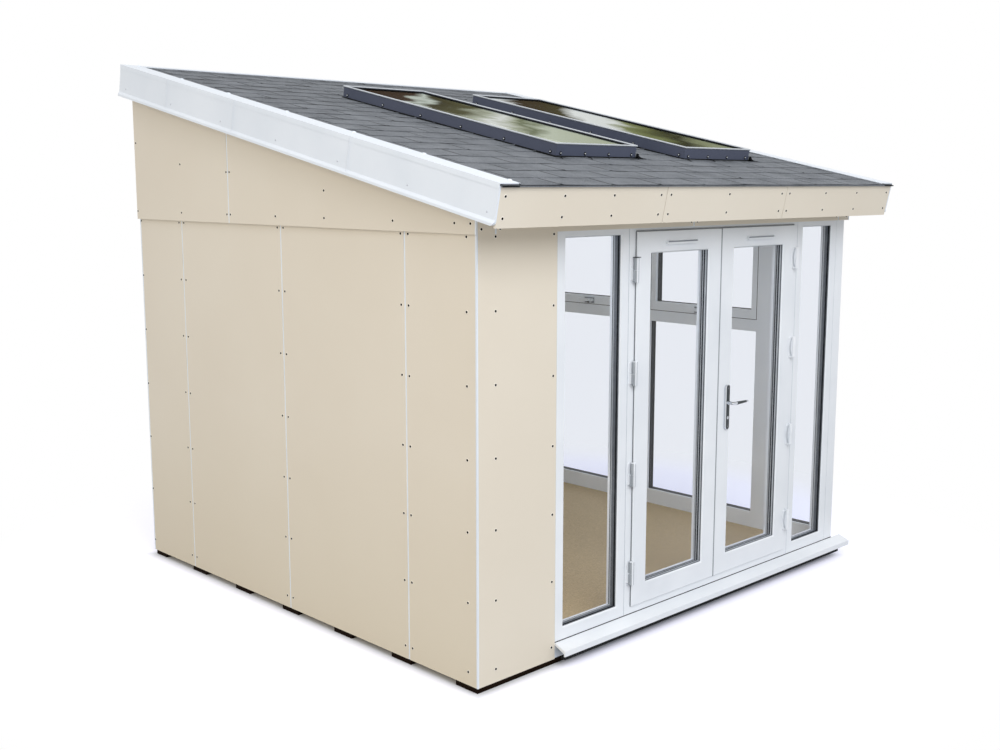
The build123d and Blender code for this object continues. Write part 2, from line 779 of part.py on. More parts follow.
# ================================================================ right side windows
front_window = (-half_depth + corner_post_depth, front_window_rear, frame_bottom, frame_top)
middle_window = (front_window_rear, front_window_rear + wide_window_width, frame_bottom, frame_top)
rear_window = (middle_window[1], right_glazing_rear, frame_bottom, frame_top)
sash_face = side_plane(half_width + sash_stand)
fixed_panes = [light_in(*front_window, stile_width, bottom_rail, top_rail)]
with BuildPart() as front_window_frame:
    glazed_frame(side_face, front_window, fixed_panes)
save(front_window_frame.part, "front_window_frame")

sash_outlines = []
for name, window in (("middle_window_frame", middle_window), ("rear_window_frame", rear_window)):
    left, right, low, high = light_in(*window, stile_width, bottom_rail, top_rail)
    lower_light = (left, right, low, transom_level)
    sash_space = (left, right, transom_level + transom_height, high)
    with BuildPart() as window_frame:
        glazed_frame(side_face, window, [lower_light])
        with BuildSketch(side_face):
            patch(*sash_space)
        extrude(amount=-frame_depth, mode=Mode.SUBTRACT)
    save(window_frame.part, name)
    fixed_panes.append(lower_light)
    sash_outlines.append(grown(sash_space, -fit))

sash_lights = [light_in(*outline, sash_bar, sash_bottom_bar, sash_bar) for outline in sash_outlines]
with BuildPart() as window_sashes:
    for outline, light in zip(sash_outlines, sash_lights):
        glazed_frame(sash_face, outline, [light], depth=frame_depth + sash_stand)
save(window_sashes.part, "window_sashes")

with BuildPart() as window_glass:
    for light in fixed_panes:
        pane(side_face, light)
    for light in sash_lights:
        pane(sash_face, light)
save(window_glass.part, "window_glass")

with BuildPart() as window_handles:
    inside = side_plane(half_width - frame_depth)
    for left, right, low, high in sash_outlines:
        middle = (left + right) / 2
        level = low + sash_bottom_bar / 2
        with BuildSketch(inside):
            with Locations((middle, level)):
                SlotOverall(window_handle_base, window_handle_width)
        extrude(amount=-window_handle_neck)
        with BuildSketch(inside.offset(-window_handle_neck)):
            with Locations((middle + (window_handle_length - window_handle_width) / 2, level)):
                SlotOverall(window_handle_length, window_handle_width)
        extrude(amount=-window_handle_grip)
save(window_handles.part, "window_handles")

# ================================================================ cills
cill_top = frame_bottom
nose_top = cill_top - cill_nose_drop
nose_low = nose_top - cill_nose


def cill_section(face, outwards):
    """Cill section in the open sketch: a sloping top whose nose hangs in front of the frame's face."""
    nose = face + outwards * cill_reach
    lip = nose - outwards * cill_lip
    with BuildLine() as outline:
        Polyline(
            (face, cill_top),
            (nose, nose_top),
            (nose, nose_low),
            (lip, nose_low),
            (lip, nose_top - cill_plate),
            (face, cill_top - cill_plate),
            close=True,
        )
    make_face(outline.edges())


with BuildPart() as front_cill:
    with BuildSketch(side_plane(front_glazing_left)):
        cill_section(-half_depth, -1)
    extrude(amount=half_width + cill_horn - front_glazing_left)
    slab(front_glazing_left, half_width, -half_depth, -half_depth + frame_depth, floor_level, cill_top)
save(front_cill.part, "front_cill")

with BuildPart() as right_cill:
    base_front = -half_depth + frame_depth + fit
    with BuildSketch(front_plane(-half_depth + fit)):
        cill_section(half_width, 1)
    extrude(amount=fit - half_depth - right_glazing_rear)
    slab(half_width - frame_depth, half_width, base_front, right_glazing_rear, floor_level, cill_top)
save(right_cill.part, "right_cill")
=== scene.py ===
"""Garden office pod: roofing, fixings, seals and furniture dressed over the fixed frame.

The doors face -Y, the glazed side faces +X and the ground is Z = 0. Shapes are worked out in
millimetres on the flat sides of the building and turned into metres when a piece is made. Each
sub-assembly is a class that holds its sizes as fields, builds its meshes from whole numpy arrays and
dresses them. Rigid pieces that are already right keep their shape and only get a finish.
"""
from __future__ import annotations

import json
import logging
import math
from dataclasses import dataclass
from enum import Enum
from typing import Any, Sequence

import bpy
import numpy as np
from mathutils import Euler, Matrix, Vector


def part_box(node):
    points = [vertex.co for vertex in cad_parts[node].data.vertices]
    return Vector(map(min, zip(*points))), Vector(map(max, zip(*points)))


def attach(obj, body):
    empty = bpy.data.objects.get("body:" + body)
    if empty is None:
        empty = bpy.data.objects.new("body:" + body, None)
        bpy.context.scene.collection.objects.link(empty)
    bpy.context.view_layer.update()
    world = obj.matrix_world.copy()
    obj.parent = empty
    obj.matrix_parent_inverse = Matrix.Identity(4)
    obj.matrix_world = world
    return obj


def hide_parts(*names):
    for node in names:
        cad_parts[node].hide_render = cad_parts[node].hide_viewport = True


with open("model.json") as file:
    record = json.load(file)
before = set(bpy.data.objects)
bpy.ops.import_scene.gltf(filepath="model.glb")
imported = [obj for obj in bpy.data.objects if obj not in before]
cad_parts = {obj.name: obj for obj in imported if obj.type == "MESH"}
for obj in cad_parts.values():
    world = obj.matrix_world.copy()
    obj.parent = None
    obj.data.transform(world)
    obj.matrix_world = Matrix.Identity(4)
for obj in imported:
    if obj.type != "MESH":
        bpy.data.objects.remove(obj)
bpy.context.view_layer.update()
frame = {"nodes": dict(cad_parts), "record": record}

log = logging.getLogger("garden_office")

MM = 0.001
ROUND_SIDES = 12  # sides of a small turned piece
SMOOTH_ANGLE = math.radians(40)  # edges sharper than this stay sharp
MATH = "ShaderNodeMath"  # type name of the node that does arithmetic

Array = np.ndarray
Node = bpy.types.Node
Socket = bpy.types.NodeSocket
Tree = bpy.types.NodeTree
Outline = tuple[float, float, float, float]  # left, right, low, high


class Body(Enum):
    """The moving bodies of the frame."""

    ROOM = "room"
    LEFT_LEAF = "left_leaf"
    RIGHT_LEAF = "right_leaf"
    LEVER = "lever"


class Slot(Enum):
    """The record's material slots."""

    BEARER = "bearer_timber"
    FLOOR = "floor_board"
    CORE = "panel_core"
    BOARD = "cream_board"
    TRIM = "white_trim"
    SHINGLE = "roof_shingle"
    METAL = "anthracite_metal"
    GLASS = "clear_glass"
    UPVC = "white_upvc"
    HARDWARE = "white_hardware"
    CHROME = "polished_chrome"


# ---------------------------------------------------------------- surfaces
@dataclass(frozen=True)
class Surface:
    """A mesh in the making: (n, 3) points, (m, 4) faces, and which finish each face takes."""

    points: Array
    faces: Array
    tones: Array

    def copies(self, places: Array) -> Surface:
        """Repeats the surface.

        Args:
            places: (k, 3) shifts of the copies.

        Returns:
            One surface: every point plus every place.
        """
        places = np.asarray(places, float)
        points = (self.points[None] + places[:, None]).reshape(-1, 3)
        steps = np.arange(len(places)) * len(self.points)
        faces = (self.faces[None] + steps[:, None, None]).reshape(-1, 4)
        return Surface(points, faces, np.tile(self.tones, len(places)))

    def toned(self, tone: int) -> Surface:
        """The same surface with one finish number on all its faces."""
        return Surface(self.points, self.faces, np.full(len(self.faces), tone))

    def tidy(self) -> Surface:
        """The same surface without the points that no face uses."""
        used, faces = np.unique(self.faces, return_inverse=True)
        return Surface(self.points[used], faces.reshape(-1, 4), self.tones)


def joined(parts: Sequence[Surface]) -> Surface:
    """Puts several surfaces into one, each one's face numbers after the last one's points."""
    starts = np.cumsum([0] + [len(part.points) for part in parts[:-1]])
    return Surface(
        np.concatenate([part.points for part in parts]),
        np.concatenate([part.faces + start for part, start in zip(parts, starts)]),
        np.concatenate([part.tones for part in parts]),
    )


def skin(points: Array, close_rows: bool = False, close_columns: bool = False) -> Surface:
    """Covers a grid of points with four-sided faces.

    Args:
        points: (rows, columns, 3) points. A face's outside is columns' direction × rows' direction.
        close_rows: Whether the last row joins the first.
        close_columns: Whether the last column joins the first.

    Returns:
        The surface whose face (i, j) has the corners (i, j), (i, j+1), (i+1, j+1), (i+1, j).
    """
    rows, columns = points.shape[:2]
    i, j = np.meshgrid(
        np.arange(rows - (not close_rows)), np.arange(columns - (not close_columns)), indexing="ij"
    )
    below, right = (i + 1) % rows, (j + 1) % columns
    corners = [i * columns + j, i * columns + right, below * columns + right, below * columns + j]
    faces = np.stack(corners, -1).reshape(-1, 4)
    return Surface(points.reshape(-1, 3), faces, np.zeros(len(faces), int))


def lid(count: int, start: int = 0) -> Array:
    """Faces that fill a flat ring of an even count of points, in strips from side to side.

    Args:
        count: How many points the ring has.
        start: The number of its first point.

    Returns:
        Faces (i, i+1, count-2-i, count-1-i), which face the side the ring runs anticlockwise on.
    """
    first = np.arange(count // 2 - 1)
    return start + np.stack([first, first + 1, count - 2 - first, count - 1 - first], -1)


def capped(points: Array) -> Surface:
    """Closes the first and last rows of a tube of points, whose columns run round it.

    Args:
        points: (rows, columns, 3) points, with an even count of columns.

    Returns:
        The closed tube.
    """
    tube = skin(points, close_columns=True)
    rows, columns = points.shape[:2]
    ends = [lid(columns)[:, ::-1], lid(columns, (rows - 1) * columns)]
    faces = np.concatenate([tube.faces, *ends])
    return Surface(tube.points, faces, np.zeros(len(faces), int))


def turned(profile: Sequence[tuple[float, float]], sides: int = ROUND_SIDES) -> Surface:
    """Turns a profile round the third axis, as on a lathe.

    Args:
        profile: (radius, height) points from the lower end to the upper end.
        sides: How many flats the round has.

    Returns:
        Points (r cos t, r sin t, h) for t round the circle, closed at both ends.
    """
    radius, height = np.array(profile, float).T
    angle = np.arange(sides) * 2 * math.pi / sides
    across = radius[:, None] * np.cos(angle)
    away = radius[:, None] * np.sin(angle)
    return capped(np.stack([across, away, np.broadcast_to(height[:, None], across.shape)], -1))


def rings(outline: Outline, section: Sequence[tuple[float, float]]) -> Array:
    """Rows of a rectangle's corners.

    Args:
        outline: The rectangle.
        section: (growth, height) points: how far the rectangle is grown, and how high above the side
            the point lies.

    Returns:
        (n, 4, 3) points: for each section point, the grown rectangle's corners at its height.
    """
    growth, height = np.array(section, float).T[..., None]
    left, right, low, high = outline
    across = np.hstack([left - growth, right + growth, right + growth, left - growth])
    along = np.hstack([low - growth, low - growth, high + growth, high + growth])
    return np.stack([across, along, np.broadcast_to(height, across.shape)], -1)


def framed(outline: Outline, section: Sequence[tuple[float, float]]) -> Surface:
    """Carries a section, anticlockwise (growth, height) points, round a rectangle with mitred corners."""
    return skin(rings(outline, section), close_rows=True, close_columns=True)


def carried(section: Array, path: Array, across: Array, upward: Array) -> Surface:
    """Carries a closed section along a path and closes both ends.

    Args:
        section: (k, 2) points, anticlockwise, with k even.
        path: (n, 3) points that run along across × upward.
        across: (3,) or (n, 3) direction of the section's first number.
        upward: (3,) or (n, 3) direction of its second number.

    Returns:
        Points path + first · across + second · upward.
    """
    across = np.broadcast_to(np.asarray(across, float), path.shape)
    upward = np.broadcast_to(np.asarray(upward, float), path.shape)
    first, second = section[None, :, :1], section[None, :, 1:]
    return capped(path[:, None] + first * across[:, None] + second * upward[:, None])


def block(low: Sequence[float], high: Sequence[float], ease: float = 0.0) -> Surface:
    """A bar between two corners, whose upper edges are eased.

    Args:
        low: Its lowest corner.
        high: Its highest corner.
        ease: How far the top is smaller all round, and how far below the top that starts.

    Returns:
        Three or two stacked rectangles, joined and closed.
    """
    eased = [(0.0, high[2] - ease), (-ease, high[2])] if ease else [(0.0, high[2])]
    return capped(rings((low[0], high[0], low[1], high[1]), [(0.0, low[2]), *eased]))


def slab_grid(top: Array, bottom: Array, kept: Array) -> Surface:
    """Closes a slab between two grids of points, with a wall wherever a kept cell meets a dropped one.

    Args:
        top: (rows, columns, 3) points of the upper skin.
        bottom: The lower skin's points.
        kept: (rows - 1, columns - 1) which cells there are.

    Returns:
        The slab, its skins in tone 0 and its cut edges in tone 1.
    """
    rows, columns = top.shape[:2]
    number = np.arange(rows * columns).reshape(rows, columns)
    lower = number + rows * columns
    i, j = np.nonzero(kept)
    cells = [np.stack([n[i, j], n[i, j + 1], n[i + 1, j + 1], n[i + 1, j]], -1) for n in (number, lower)]
    edges = []
    wide, tall = np.pad(kept, ((0, 0), (1, 1))), np.pad(kept, ((1, 1), (0, 0)))
    for upright, before, after in ((True, wide[:, :-1], wide[:, 1:]), (False, tall[:-1], tall[1:])):
        i, j = np.nonzero(before != after)
        ends = ((i, j), (i + 1, j)) if upright else ((i, j + 1), (i, j))
        wall = np.stack([number[ends[0]], number[ends[1]], lower[ends[1]], lower[ends[0]]], -1)
        opens = after[i, j][:, None]
        edges.append(np.where(opens, wall, wall[:, ::-1]))
    faces = np.concatenate([cells[0], cells[1][:, ::-1], *edges])
    tones = np.repeat([0, 1], [2 * len(cells[0]), len(faces) - 2 * len(cells[0])])
    return Surface(np.concatenate([top.reshape(-1, 3), bottom.reshape(-1, 3)]), faces, tones).tidy()


@dataclass(frozen=True)
class Side:
    """A flat face of the building, in millimetres: a point on it is (along, up, out)."""

    origin: tuple[float, float, float]
    along: tuple[float, float, float]
    up: tuple[float, float, float]

    def place(self, surface: Surface) -> Surface:
        """Stands a surface on this side.

        Args:
            surface: Its points as (along, up, out).

        Returns:
            The surface at origin + x along + y up + z out, with out = along × up.
        """
        along, up = np.array(self.along), np.array(self.up)
        axes = np.stack([along, up, np.cross(along, up)])
        return Surface(np.array(self.origin) + surface.points @ axes, surface.faces, surface.tones)


HALF_WIDTH, HALF_DEPTH = 1525.0, 1500.0
LEAF_OUT, SASH_OUT = 12.0, 8.0  # leaves and sashes stand out from the frames' faces
PITCH = math.radians(12.0)
RISE, RUN = math.sin(PITCH), math.cos(PITCH)
EAVES = (0.0, -1750.0, 2326.0)
ROOF_EDGE = 1623.0
X, Y, Z = (1.0, 0.0, 0.0), (0.0, 1.0, 0.0), (0.0, 0.0, 1.0)
UPHILL, DOWNHILL, OFF_ROOF = (0.0, RUN, RISE), (0.0, -RUN, -RISE), (0.0, -RISE, RUN)
FRONT = Side((0.0, -HALF_DEPTH, 0.0), X, Z)
LEAVES = Side((0.0, -HALF_DEPTH - LEAF_OUT, 0.0), X, Z)
RIGHT = Side((HALF_WIDTH, 0.0, 0.0), Y, Z)
SASHES = Side((HALF_WIDTH + SASH_OUT, 0.0, 0.0), Y, Z)
BACK = Side((0.0, HALF_DEPTH, 0.0), (-1.0, 0.0, 0.0), Z)
LEFT = Side((-HALF_WIDTH, 0.0, 0.0), (0.0, -1.0, 0.0), Z)
SLOPE = Side(EAVES, X, UPHILL)
FASCIA = Side(EAVES, X, OFF_ROOF)
KERB_BACK = Side(EAVES, (-1.0, 0.0, 0.0), OFF_ROOF)
LEFT_VERGE = Side((-ROOF_EDGE, *EAVES[1:]), DOWNHILL, OFF_ROOF)
RIGHT_VERGE = Side((ROOF_EDGE, *EAVES[1:]), UPHILL, OFF_ROOF)


# ---------------------------------------------------------------- colour and nodes
def linear(colour: str) -> tuple[float, float, float, float]:
    """Turns an sRGB hex colour into the linear colour that a shader takes.

    Args:
        colour: Six hex digits after a hash.

    Returns:
        Linear red, green and blue, and 1. Each channel below 0.04045 is divided by 12.92, and any
        other is ((c + 0.055) / 1.055) to the power 2.4.
    """
    channels = np.array([int(colour[start : start + 2], 16) / 255 for start in (1, 3, 5)])
    curved = ((channels + 0.055) / 1.055) ** 2.4
    straight = np.where(channels <= 0.04045, channels / 12.92, curved)
    return (*straight.tolist(), 1.0)


def add(tree: Tree, kind: str, inputs: dict[str | int, Any] | None = None, **settings: Any) -> Node:
    """Adds one node with its settings and links.

    Args:
        tree: The node tree that it goes into.
        kind: The node's type name.
        inputs: What each input holds, by name or number: a value, or a socket, which is linked.
        settings: The node's own properties.

    Returns:
        The new node.
    """
    made = tree.nodes.new(kind)
    for name, value in settings.items():
        setattr(made, name, value)
    for name, value in (inputs or {}).items():
        if isinstance(value, Socket):
            tree.links.new(value, made.inputs[name])
        else:
            made.inputs[name].default_value = value
    return made


def blotches(
    tree: Tree, place: Socket, size: float, low: float = 0.0, high: float = 1.0, detail: float = 3.0
) -> Socket:
    """Soft blotches: noise, whose usual range of 0.3 to 0.7 is stretched to the range low to high.

    Args:
        tree: The material's node tree.
        place: The coordinates, in metres.
        size: Width of a blotch, in metres.
        low: The value at 0.3.
        high: The value at 0.7.
        detail: How many finer layers are added.

    Returns:
        The stretched value.
    """
    noise = add(tree, "ShaderNodeTexNoise", {"Vector": place, "Scale": 1 / size, "Detail": detail})
    span = {"From Min": 0.3, "From Max": 0.7, "To Min": low, "To Max": high}
    return add(tree, "ShaderNodeMapRange", {"Value": noise.outputs["Fac"], **span}).outputs["Result"]


def roughened(tree: Tree, place: Socket, size: float, depth: float, detail: float = 3.0) -> Socket:
    """A relief of noise.

    Args:
        tree: The material's node tree.
        place: The coordinates, in metres.
        size: Width of one bump, in metres.
        depth: How deep the relief is, in metres.
        detail: How many finer layers are added.

    Returns:
        The surface's bumped normal.
    """
    noise = add(tree, "ShaderNodeTexNoise", {"Vector": place, "Scale": 1 / size, "Detail": detail})
    bump = {"Height": noise.outputs["Fac"], "Distance": depth, "Strength": 1.0}
    return add(tree, "ShaderNodeBump", bump).outputs["Normal"]


# ---------------------------------------------------------------- finishes
@dataclass(frozen=True)
class Finish:
    """A finish: its name, its colour and how it scatters light. Subclasses add the surface's detail."""

    name: str
    colour: str
    roughness: float
    gloss: float = 0.5  # how strongly the surface mirrors, 0.5 for common paints and plastics
    metallic: float = 0.0
    shade: str = "#808080"  # what the colour drifts towards, where it drifts

    def material(self) -> bpy.types.Material:
        """Builds the material.

        Returns:
            The material, or the one already made under this name.
        """
        found = bpy.data.materials.get(self.name)
        if found:
            return found
        made = bpy.data.materials.new(self.name)
        made.use_nodes = True
        made.diffuse_color = linear(self.colour)
        tree = made.node_tree
        tree.nodes.clear()
        place = add(tree, "ShaderNodeTexCoord").outputs["Object"]
        add(tree, "ShaderNodeOutputMaterial", {"Surface": self.surface(tree, place)})
        return made

    def surface(self, tree: Tree, place: Socket) -> Socket:
        """Makes one principled shader and links the finish's own detail over its plain values.

        Args:
            tree: The material's node tree.
            place: The object coordinates.

        Returns:
            The socket that goes to the output.
        """
        plain = {
            "Base Color": linear(self.colour),
            "Roughness": self.roughness,
            "Specular IOR Level": self.gloss,
            "Metallic": self.metallic,
        }
        shader = add(tree, "ShaderNodeBsdfPrincipled", plain)
        for name, socket in self.detail(tree, place).items():
            tree.links.new(socket, shader.inputs[name])
        return shader.outputs["BSDF"]

    def detail(self, tree: Tree, place: Socket) -> dict[str, Socket]:
        """What drives the shader's inputs, by their names: nothing on a plain finish."""
        return {}

    def drift(self, tree: Tree, place: Socket, size: float, detail: float = 3.0) -> Socket:
        """The finish's colour, drifting to its shade in blotches of a size.

        Args:
            tree: The material's node tree.
            place: The object coordinates.
            size: Width of a blotch, in metres.
            detail: How many finer layers are added.

        Returns:
            The mixed colour.
        """
        pair = {6: linear(self.colour), 7: linear(self.shade)}
        share = blotches(tree, place, size, detail=detail)
        return add(tree, "ShaderNodeMix", {0: share, **pair}, data_type="RGBA").outputs[2]


@dataclass(frozen=True)
class PaintedBoard(Finish):
    """Cement board with masonry paint, rolled on: satin, softly clouded, with a faint stipple."""

    cloud: float = 0.9
    stipple: float = 2.5 * MM
    depth: float = 0.15 * MM
    ground_tint: str = "#cdbf9f"
    ground_tint_share: float = 0.0  # share of the darker, yellower colour at the ground
    ground_tint_height: float = 1.1
    untinted_front: float = -1.497  # boards in front of this Y keep the plain colour

    def detail(self, tree: Tree, place: Socket) -> dict[str, Socket]:
        """Adds the clouds in the paint, a darker, yellower colour towards the ground and the stipple that the
        roller leaves.

        Args:
            tree: The material's node tree.
            place: The object coordinates.

        Returns:
            What drives the shader's inputs, by their names.
        """
        paint = self.drift(tree, place, self.cloud)
        layers = {0: self.ground_tint_mask(tree, place), 6: paint, 7: linear(self.ground_tint)}
        return {
            "Base Color": add(tree, "ShaderNodeMix", layers, data_type="RGBA").outputs[2],
            "Roughness": blotches(tree, place, self.stipple, self.roughness - 0.08, self.roughness + 0.08),
            "Normal": roughened(tree, place, self.stipple, self.depth),
        }

    def ground_tint_mask(self, tree: Tree, place: Socket) -> Socket:
        """Share of the low colour: full at the ground, none at its height and none on the front boards.

        Args:
            tree: The material's node tree.
            place: The object coordinates.

        Returns:
            The share.
        """
        across = add(tree, "ShaderNodeSeparateXYZ", {"Vector": place}).outputs
        span = {"From Max": self.ground_tint_height, "To Min": self.ground_tint_share, "To Max": 0.0}
        fall = add(tree, "ShaderNodeMapRange", {"Value": across["Z"], **span}).outputs["Result"]
        off_front = add(tree, MATH, {0: across["Y"], 1: self.untinted_front}, operation="GREATER_THAN").outputs[0]
        return add(tree, MATH, {0: off_front, 1: fall}, operation="MULTIPLY").outputs[0]


@dataclass(frozen=True)
class Extrusion(Finish):
    """Extruded white uPVC: a glossy skin with very slight waviness along the bar."""

    shade: str = "#e4e9ee"
    wave: float = 0.35
    ripple: float = 6.0 * MM
    depth: float = 0.03 * MM

    def detail(self, tree: Tree, place: Socket) -> dict[str, Socket]:
        """Adds a faint haze from handling, glossier where it is darker, and a drawn skin's ripple.

        Args:
            tree: The material's node tree.
            place: The object coordinates.

        Returns:
            What drives the shader's inputs, by their names.
        """
        haze = blotches(tree, place, self.wave)
        low, high = self.roughness + 0.05, self.roughness - 0.05
        span = {"From Min": 0.3, "From Max": 0.7, "To Min": low, "To Max": high}
        return {
            "Base Color": self.drift(tree, place, self.wave),
            "Roughness": add(tree, "ShaderNodeMapRange", {"Value": haze, **span}).outputs["Result"],
            "Normal": roughened(tree, place, self.ripple, self.depth, 1.0),
        }


@dataclass(frozen=True)
class MineralFelt(Finish):
    """Bitumen shingle with pressed slate granules: matt, mixed greys, sharp grit."""

    shade: str = "#5f646a"
    light: str = "#a5a9ad"
    granule: float = 3.0 * MM  # real ones are 1 mm, too fine to show
    patch: float = 0.16
    depth: float = 1.2 * MM

    def detail(self, tree: Tree, place: Socket) -> dict[str, Socket]:
        """Adds the granules, a cell each, with pale flecks over patches of darker and paler felt.

        Args:
            tree: The material's node tree.
            place: The object coordinates.

        Returns:
            What drives the shader's inputs, by their names.
        """
        cells = add(tree, "ShaderNodeTexVoronoi", {"Vector": place, "Scale": 1 / self.granule})
        grey = add(tree, "ShaderNodeSeparateColor", {"Color": cells.outputs["Color"]}).outputs
        span = {"From Min": 0.55, "From Max": 1.0, "To Min": 0.0, "To Max": 0.5}
        fleck = add(tree, "ShaderNodeMapRange", {"Value": grey["Red"], **span}).outputs["Result"]
        layers = {0: fleck, 6: self.drift(tree, place, self.patch, 4.0), 7: linear(self.light)}
        bump = {"Height": grey["Green"], "Distance": self.depth, "Strength": 1.0}
        return {
            "Base Color": add(tree, "ShaderNodeMix", layers, data_type="RGBA").outputs[2],
            "Normal": add(tree, "ShaderNodeBump", bump).outputs["Normal"],
        }


@dataclass(frozen=True)
class PowderCoat(Finish):
    """Powder-coated steel or aluminium: satin, with fine orange peel."""

    cloud: float = 0.5
    peel: float = 4.0 * MM
    depth: float = 0.05 * MM

    def detail(self, tree: Tree, place: Socket) -> dict[str, Socket]:
        """Adds the coat's orange peel and a slight drift of its colour."""
        return {
            "Base Color": self.drift(tree, place, self.cloud),
            "Normal": roughened(tree, place, self.peel, self.depth, 1.0),
        }


@dataclass(frozen=True)
class SawnTimber(Finish):
    """Treated softwood: grain along X, rough from the saw."""

    shade: str = "#160d06"
    ring: float = 9.0 * MM
    stretch: float = 30.0
    depth: float = 0.6 * MM

    def detail(self, tree: Tree, place: Socket) -> dict[str, Socket]:
        """Adds grain: noise that is stretched along the board.

        Args:
            tree: The material's node tree.
            place: The object coordinates.

        Returns:
            What drives the shader's inputs, by their names.
        """
        squeezed = {"Vector": place, "Scale": (1 / self.stretch, 1.0, 1.0)}
        along = add(tree, "ShaderNodeMapping", squeezed).outputs["Vector"]
        return {
            "Base Color": self.drift(tree, along, self.ring, 5.0),
            "Normal": roughened(tree, along, self.ring, self.depth, 5.0),
        }


@dataclass(frozen=True)
class Chipboard(Finish):
    """Flooring-grade particle board: pressed chips of mixed tan, slightly sealed."""

    light: str = "#c9b894"
    chip: float = 7.0 * MM
    depth: float = 0.3 * MM

    def detail(self, tree: Tree, place: Socket) -> dict[str, Socket]:
        """Adds chips: cells with bent edges, each with its own tint and height.

        Args:
            tree: The material's node tree.
            place: The object coordinates.

        Returns:
            What drives the shader's inputs, by their names.
        """
        bent = add(tree, "ShaderNodeTexNoise", {"Vector": place, "Scale": 1 / (3 * self.chip)})
        push = {0: bent.outputs["Color"], "Scale": 2 * self.chip}
        offset = add(tree, "ShaderNodeVectorMath", push, operation="SCALE").outputs["Vector"]
        moved = add(tree, "ShaderNodeVectorMath", {0: place, 1: offset}, operation="ADD").outputs["Vector"]
        cells = add(tree, "ShaderNodeTexVoronoi", {"Vector": moved, "Scale": 1 / self.chip})
        grey = add(tree, "ShaderNodeSeparateColor", {"Color": cells.outputs["Color"]}).outputs
        tints = {0: grey["Red"], 6: linear(self.shade), 7: linear(self.light)}
        chips = add(tree, "ShaderNodeMix", tints, data_type="RGBA").outputs[2]
        layers = {0: 0.5, 6: linear(self.colour), 7: chips}
        bump = {"Height": grey["Green"], "Distance": self.depth, "Strength": 1.0}
        return {
            "Base Color": add(tree, "ShaderNodeMix", layers, data_type="RGBA").outputs[2],
            "Normal": add(tree, "ShaderNodeBump", bump).outputs["Normal"],
        }


@dataclass(frozen=True)
class BrightMetal(Finish):
    """Plated or freshly cut metal with fine polishing marks."""

    metallic: float = 1.0
    mark: float = 1.5 * MM
    depth: float = 0.02 * MM

    def detail(self, tree: Tree, place: Socket) -> dict[str, Socket]:
        """Adds the marks, in the gloss and as a relief."""
        return {
            "Roughness": blotches(tree, place, self.mark, self.roughness - 0.04, self.roughness + 0.06),
            "Normal": roughened(tree, place, self.mark, self.depth),
        }


@dataclass(frozen=True)
class DullSkin(Finish):
    """Rubber, sealant, bitumen or mill metal: one dull colour with a trace of chalking."""

    chalk: float = 40.0 * MM

    def detail(self, tree: Tree, place: Socket) -> dict[str, Socket]:
        """Adds the chalking."""
        return {"Base Color": self.drift(tree, place, self.chalk)}


@dataclass(frozen=True)
class FloatGlass(Finish):
    """Sealed float glass: clear, its gloss growing towards grazing sight as the Fresnel law says."""

    ior: float = 1.3
    sheets: float = 1.0  # how many reflecting faces one face of the unit stands for

    def surface(self, tree: Tree, place: Socket) -> Socket:
        """Mixes a see-through body and a mirror skin.

        For n faces that each reflect f, the whole unit reflects n f / (1 + (n - 1) f). Only the face
        that the light enters by does so.

        Args:
            tree: The material's node tree.
            place: The object coordinates.

        Returns:
            The socket that goes to the output.
        """
        body = add(tree, "ShaderNodeBsdfTransparent", {"Color": linear(self.colour)})
        skin = add(tree, "ShaderNodeBsdfGlossy", {"Color": linear("#ffffff"), "Roughness": self.roughness})
        self.paint_reflection(tree, skin, place)
        fresnel = add(tree, "ShaderNodeFresnel", {"IOR": self.ior}).outputs["Fac"]
        leaving = add(tree, "ShaderNodeNewGeometry").outputs["Backfacing"]
        entering = add(tree, MATH, {0: 1.0, 1: leaving}, operation="SUBTRACT").outputs[0]
        others = add(tree, MATH, {0: fresnel, 1: self.sheets - 1}, operation="MULTIPLY").outputs[0]
        rest = add(tree, MATH, {0: others, 1: 1.0}, operation="ADD").outputs[0]
        share = fresnel
        for operation, second in (("MULTIPLY", self.sheets), ("DIVIDE", rest), ("MULTIPLY", entering)):
            share = add(tree, MATH, {0: share, 1: second}, operation=operation).outputs[0]
        layers = {0: share, 1: body.outputs["BSDF"], 2: skin.outputs["BSDF"]}
        return add(tree, "ShaderNodeMixShader", layers).outputs["Shader"]

    def paint_reflection(self, tree: Tree, skin: Node, place: Socket) -> None:
        """Paints no reflection: the mirror skin stays white."""


